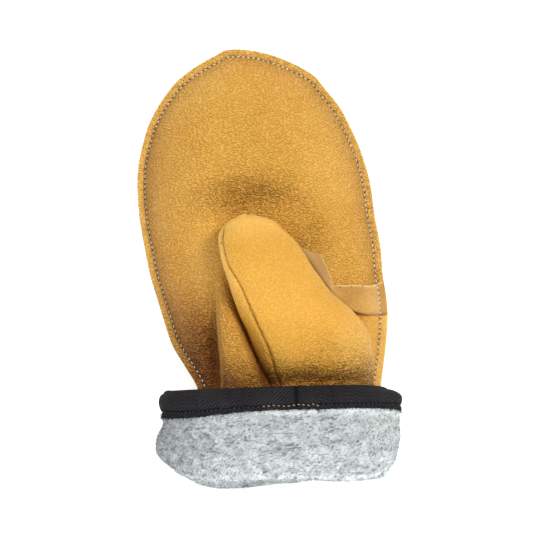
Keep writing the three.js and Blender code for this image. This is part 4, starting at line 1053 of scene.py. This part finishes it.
CP, CTH = cuff_grid(CUFF_STEPS, CUFF_ROWS, CUFF_INNER - CUFF_ROWS, 10)
CN = grid_normals(CP, True)
cen = np.array([0.035 * PALM_WIDTH, 0, 33])
if (CN[:, 40] * (CP[:, 40] - cen) * [1, 0, 1]).sum() < 0:
    CN = -CN
lump = fbm(CP[..., 0] / 7.5, CP[..., 1] / 6.5, CP[..., 2] / 7.5, 2) * 0.80
lump += 0.9 * fbm(CP[..., 0] / 19, CP[..., 1] / 17, CP[..., 2] / 19, 2)
turning = smooth(CUFF_ROWS - 5, CUFF_ROWS + 1, np.arange(CP.shape[1]))[None, :]
lump = lump * (1 - 0.75 * turning) + 0.8 * turning
tape_edge = (CUFF_TOP - read(TAPE_REACH, "at", np.degrees(CTH), "down"))[:, None] * BODY_LENGTH
free_part = smooth(0.0, -6.0, CP[..., 1] - tape_edge)
CQ = CP + CN * ((lump - 1.1) * free_part)[..., None]
CQ[..., 2] = np.maximum(CQ[..., 2], 0.0)
around = np.broadcast_to(CTH[:, None] * 60, CP.shape[:2])
cuff = grid_object("cuff_fleece", CQ, wrap=True, uv=np.dstack([around, 0 * lump]), colour=heather_and_painted_light(CQ))
face_out(cuff, 40)
dress(cuff, 2.6, FLEECE)


# ------------------------------------------------------------ lining of the hand
def bag_grid():
    loop = outline(60, 60, -0.20)
    inset = FLANGE + 4 + FLEECE_BAG
    xy, _ = fan(loop, np.array([inset]), np.linspace(0, 1, 22)[1:])
    x, y = xy[..., 0], xy[..., 1]
    d = from_edge(x, y)
    depth = LEATHER + CLEARANCE + BAG_EASE + FLEECE_BAG
    lump = fbm(x / 8, y / 8, 2.0, 2) * 0.5
    top = palm_level(x, y, False, d) - depth * 1.1 + lump
    low = back_level(x, y, d) + depth * 1.1 + lump
    low = np.minimum(low, top - 1.5)
    up = np.dstack([x, y, top])[:, ::-1]
    down = np.dstack([x, y, low])
    mid = np.dstack([x[:, :1] - (x[:, 1:2] - x[:, :1]) * 0.5, y[:, :1] - (y[:, 1:2] - y[:, :1]) * 0.5,
                     (top[:, :1] + low[:, :1]) / 2])
    return np.concatenate([up, mid, down], 1)


BP = bag_grid()
opened = under_thumb(BP[..., 0], BP[..., 1], 9.0) & (face_mean(BP[..., 2]) > 24)
bag = grid_object("hand_lining_fleece", BP, keep=~opened, colour=heather_and_painted_light(BP))
face_up(bag, centre=to_m([0, 80, 24]))
dress(bag, FLEECE_BAG * 0.8, FLEECE, offset=1.0)


# ------------------------------------------------------------------- fibres
def unit(v):
    return v / np.linalg.norm(v, axis=1, keepdims=True)


def fibres(name, P, N, count, seed, length, width, colour_of, keep):
    """Short bent strands of two quads each, strewn over a closed grid by area and keep."""
    rng = np.random.RandomState(seed)
    n, m = P.shape[:2]
    du = np.linalg.norm(np.roll(P, -1, 0) - P, axis=2)
    dv = np.linalg.norm(np.diff(P, axis=1), axis=2)
    area = du[:, :-1] * dv * keep[:, :-1]
    pick = rng.choice(area.size, count, p=area.ravel() / area.sum())
    i, j = pick // (m - 1), pick % (m - 1)
    a, b = rng.rand(count, 1), rng.rand(count, 1)
    i2 = (i + 1) % n
    base = (P[i, j] * (1 - a) + P[i2, j] * a) * (1 - b) + (P[i, j + 1] * (1 - a) + P[i2, j + 1] * a) * b
    nor = N[i, j]
    side = unit(np.cross(nor, rng.normal(size=(count, 3))))
    grow = nor * rng.uniform(0.35, 1.0, (count, 1)) + side * rng.uniform(0.3, 1.1, (count, 1))
    grow = unit(grow + np.array([0.25, 0, 0]) * rng.normal(size=(count, 1)))
    bend = rng.normal(size=(count, 3)) * 0.55 - nor * 0.25
    L = rng.uniform(0.5, 1.0, (count, 1)) * length
    across = unit(np.cross(grow, rng.normal(size=(count, 3))))
    points = []
    for k, w in ((0.0, 1.0), (0.55, 0.8), (1.0, 0.15)):
        c = base - nor * 0.25 + grow * L * k + bend * L * 0.45 * k * k
        points += [c - across * width * 0.5 * w, c + across * width * 0.5 * w]
    V = np.stack(points, 1)
    V[..., 2] = np.maximum(V[..., 2], 0.02)
    tint = colour_of(base) * rng.uniform(0.86, 1.16, (count, 1))
    tint = np.clip(tint * np.where(rng.rand(count, 1) < 0.16, 0.30, 1.0), 0, 1)
    start = np.arange(count)[:, None] * 6
    mesh = quad_mesh(name, V.reshape(-1, 3), np.concatenate([start + [[0, 1, 3, 2]], start + [[2, 3, 5, 4]]]))
    tint_points(mesh, np.repeat(tint, 6, 0))
    mesh.validate()
    return place(name, mesh, FIBRE)


visible = free_part * 1.0
visible[:, CUFF_INNER:] *= 0.25
pile = [fibres("cuff_pile_%d" % k, CQ, CN, PILE_STRANDS, 5 + k, 1.9, 0.29, heather_and_painted_light, visible) for k in (0, 1)]


# ------------------------------------------------------------------- threads
def stitches(name, path, normal, pitch, fill, radius, material, phase=0.0, lean=0.0, flat=1.0):
    """Thread seen between its holes: short bowed capsules along a path in mm, or flat dents where flat < 1."""
    seg = run(path)
    verts, faces = [], []
    ring = np.arange(6) * 2 * math.pi / 6
    ks = np.linspace(0, 1, 7)
    arch = np.sin(math.pi * ks)
    wide = radius * (0.45 + 0.55 * np.sqrt(np.clip(arch, 0, 1)))
    for s0 in np.arange(phase, seg[-1] - pitch, pitch):
        at = s0 + pitch * fill * ks
        p = np.stack([np.interp(at, seg, path[:, c]) for c in range(3)], 1)
        nn = unit(np.stack([np.interp(at, seg, normal[:, c]) for c in range(3)], 1))
        tan = p[-1] - p[0]
        tan /= np.linalg.norm(tan)
        side = np.cross(tan, nn[3])
        side /= np.linalg.norm(side)
        if flat == 1.0:
            p += nn * (arch * radius * 1.5 - (1 - arch) * radius * 1.6)[:, None]
        p += side * (lean * (ks - 0.5))[:, None]
        base = len(verts)
        for q, w, a in zip(p, wide, nn):
            b = np.cross(tan, a)
            for r in ring:
                verts.append(q + (a * math.sin(r) * 0.85 * flat + b * math.cos(r)) * w)
        for k in range(base, base + 36, 6):
            for r in range(6):
                r2 = (r + 1) % 6
                faces.append((k + r, k + r2, k + 6 + r2, k + 6 + r))
        faces.append(tuple(range(base + 5, base - 1, -1)))
        faces.append(tuple(range(base + 36, base + 42)))
    mesh = bpy.data.meshes.new(name)
    mesh.from_pydata([tuple(v) for v in to_m(np.array(verts))], [], faces)
    return place(name, mesh, material)


def seam_line(d, *fields):
    """The side seam's way over a grid whose first columns are at the depths d."""
    first = len(NEAR)
    return np.array([[np.interp(STITCH_AT, row[:first], f[i, :first]) for f in fields] for i, row in enumerate(d)])


# side seam: over the crotch strip where that is caught in it
seam = seam_line(D, X, Y, ZP)
sy = seam[:, 1] / BODY_LENGTH
on_strip = (seam[:, 0] > 0) & (sy > 0.2185) & (sy < 0.309)
seam[on_strip, 2] += WELT_THICKNESS + CLEARANCE + 0.3
seam, seam_b = seam[3:-3], seam_line(DB, XB, YB, ZB)[3:-3]
UP = np.array([[0, 0, 1.0]])
up_a, up_b = np.repeat(UP, len(seam), 0), np.repeat(UP, len(seam_b), 0)
seam_top = stitches("side_seam_thread", seam, up_a, STITCH_PITCH, 0.82, 0.46, SEAM_THREAD, lean=0.45)
# dark caps at the needle holes: the shade inside them is painted
seam_hole_shade = stitches("side_seam_hole_shade", seam, up_a, STITCH_PITCH, 0.30, 0.52, HOLE_SHADE,
                      phase=STITCH_PITCH * 0.76, flat=0.35)
seam_under = stitches("side_seam_thread_back", seam_b, -up_b, STITCH_PITCH, 0.80, 0.34, SEAM_THREAD,
                      phase=1.5, lean=0.35)

# binding stitches close to its lower edge, tan over the front middle, dark elsewhere
TN = grid_normals(TP, True)
if (TN[:, 6] * (TP[:, 6] - np.array([0.04 * PALM_WIDTH, -6, 33]))).sum() < 0:
    TN = -TN
loop_path = np.vstack([TP[:, STITCH_ROW], TP[:1, STITCH_ROW]])
loop_norm = np.vstack([TN[:, STITCH_ROW], TN[:1, STITCH_ROW]])
tan_from, tan_to = from_photo(258, 0)[0], from_photo(320, 0)[0]
idx = np.where((loop_path[:, 2] > 40) & (loop_path[:, 0] > tan_from) & (loop_path[:, 0] < tan_to))[0]
tan_stitch = stitches("binding_thread_tan", loop_path[idx], loop_norm[idx], BINDING_PITCH, 0.74, 0.34,
                      TAN_THREAD, lean=0.5)
others = np.r_[np.arange(idx[-1], len(loop_path)), np.arange(0, idx[0] + 1)]
dark_stitch = stitches("binding_thread_dark", loop_path[others], loop_norm[others], BINDING_PITCH, 0.72, 0.27,
                       DARK_THREAD)

# frayed strands at the binding's lower edge
fray = fibres("cuff_tape_fray", TP[:, :5], TN[:, :5], FRAY_STRANDS, 21, 2.7, 0.27,
              lambda p: np.tile([0.012, 0.0115, 0.013], (len(p), 1)), np.ones((len(TP), 5)))


# ------------------------------------------------------------------ the pieces
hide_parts("palm_panel")
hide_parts("back_panel")
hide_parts("thumb_front")
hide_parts("thumb_back")
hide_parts("crotch_welt")
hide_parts("cuff_binding")
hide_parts("fleece_cuff")
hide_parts("hand_lining")
pieces = {
    palm: "leather", back: "leather", thumb_a: "thumb_leather", thumb_b: "thumb_leather", welt: "suede",
    tape: "binding_tape", cuff: "fleece", bag: "fleece", pile[0]: "fleece", pile[1]: "fleece", seam_top: "leather",
    seam_hole_shade: "leather", fray: "binding_tape",
    seam_under: "leather", tan_stitch: "binding_tape", dark_stitch: "binding_tape"}
for ob, slot in pieces.items():
    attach(ob, "root")


# ------------------------------------------------------- floor, light and camera
def stage():
    mesh = bpy.data.meshes.new("studio_floor")
    mesh.from_pydata([(-4, -4, -0.0003), (4, -4, -0.0003), (4, 4, -0.0003), (-4, 4, -0.0003)], [], [(0, 1, 2, 3)])
    floor = bpy.data.objects.new("studio_floor", mesh)
    bpy.context.scene.collection.objects.link(floor)
    mesh.materials.append(Shader("pale floor").done(
        Base_Color=(0.90, 0.90, 0.90), Emission_Color=(1, 1, 1), Emission_Strength=0.55, Roughness=0.9,
        Specular_IOR_Level=0.1))
    world = bpy.data.worlds.new("studio")
    bpy.context.scene.world = world
    world.use_nodes = True
    bg = world.node_tree.nodes["Background"]
    bg.inputs[0].default_value = (0.95, 0.97, 1.0, 1)
    bg.inputs[1].default_value = 0.33
    for name, at, size, power, colour in (
            ("key", (0.90, 0.62, 1.62), 0.55, 32, (1.0, 0.985, 0.96)),
            ("fill", (-1.5, 0.4, 1.1), 1.2, 13, (0.98, 0.985, 1.0)),
            ("front", (0.15, -1.6, 0.36), 1.1, 34, (0.99, 0.99, 1.0)),
            ("top", (0.1, 0.4, 2.6), 1.2, 14, (1.0, 1.0, 1.0))):
        lamp = bpy.data.lights.new(name, "AREA")
        lamp.shape = "DISK"
        lamp.size = size
        lamp.energy = power
        lamp.color = colour
        ob = bpy.data.objects.new(name, lamp)
        ob.location = at
        ob.rotation_euler = Vector(np.array((0, 0, 0.03)) - np.array(at)).to_track_quat("-Z", "Y").to_euler()
        bpy.context.scene.collection.objects.link(ob)


def camera():
    """Straight above, far off, and wide enough for the photo's 540 pixels at the mitten's middle height."""
    height, plane = 2.4, 0.030
    wide = 540 * PIXEL / 1000
    cam = bpy.data.cameras.new("camera")
    cam.sensor_width = 36
    cam.clip_end = 50
    cam.lens = 36 * (height - plane) / wide
    ob = bpy.data.objects.new("camera", cam)
    bpy.context.scene.collection.objects.link(ob)
    ob.location = (SHIFT[0] / 1000, (SHIFT[1] + from_photo(0, PHOTO_MID)[1]) / 1000, height)
    bpy.context.scene.camera = ob
    bpy.context.scene.view_settings.view_transform = "Standard"
    bpy.context.scene.view_settings.look = "None"


stage()
camera()
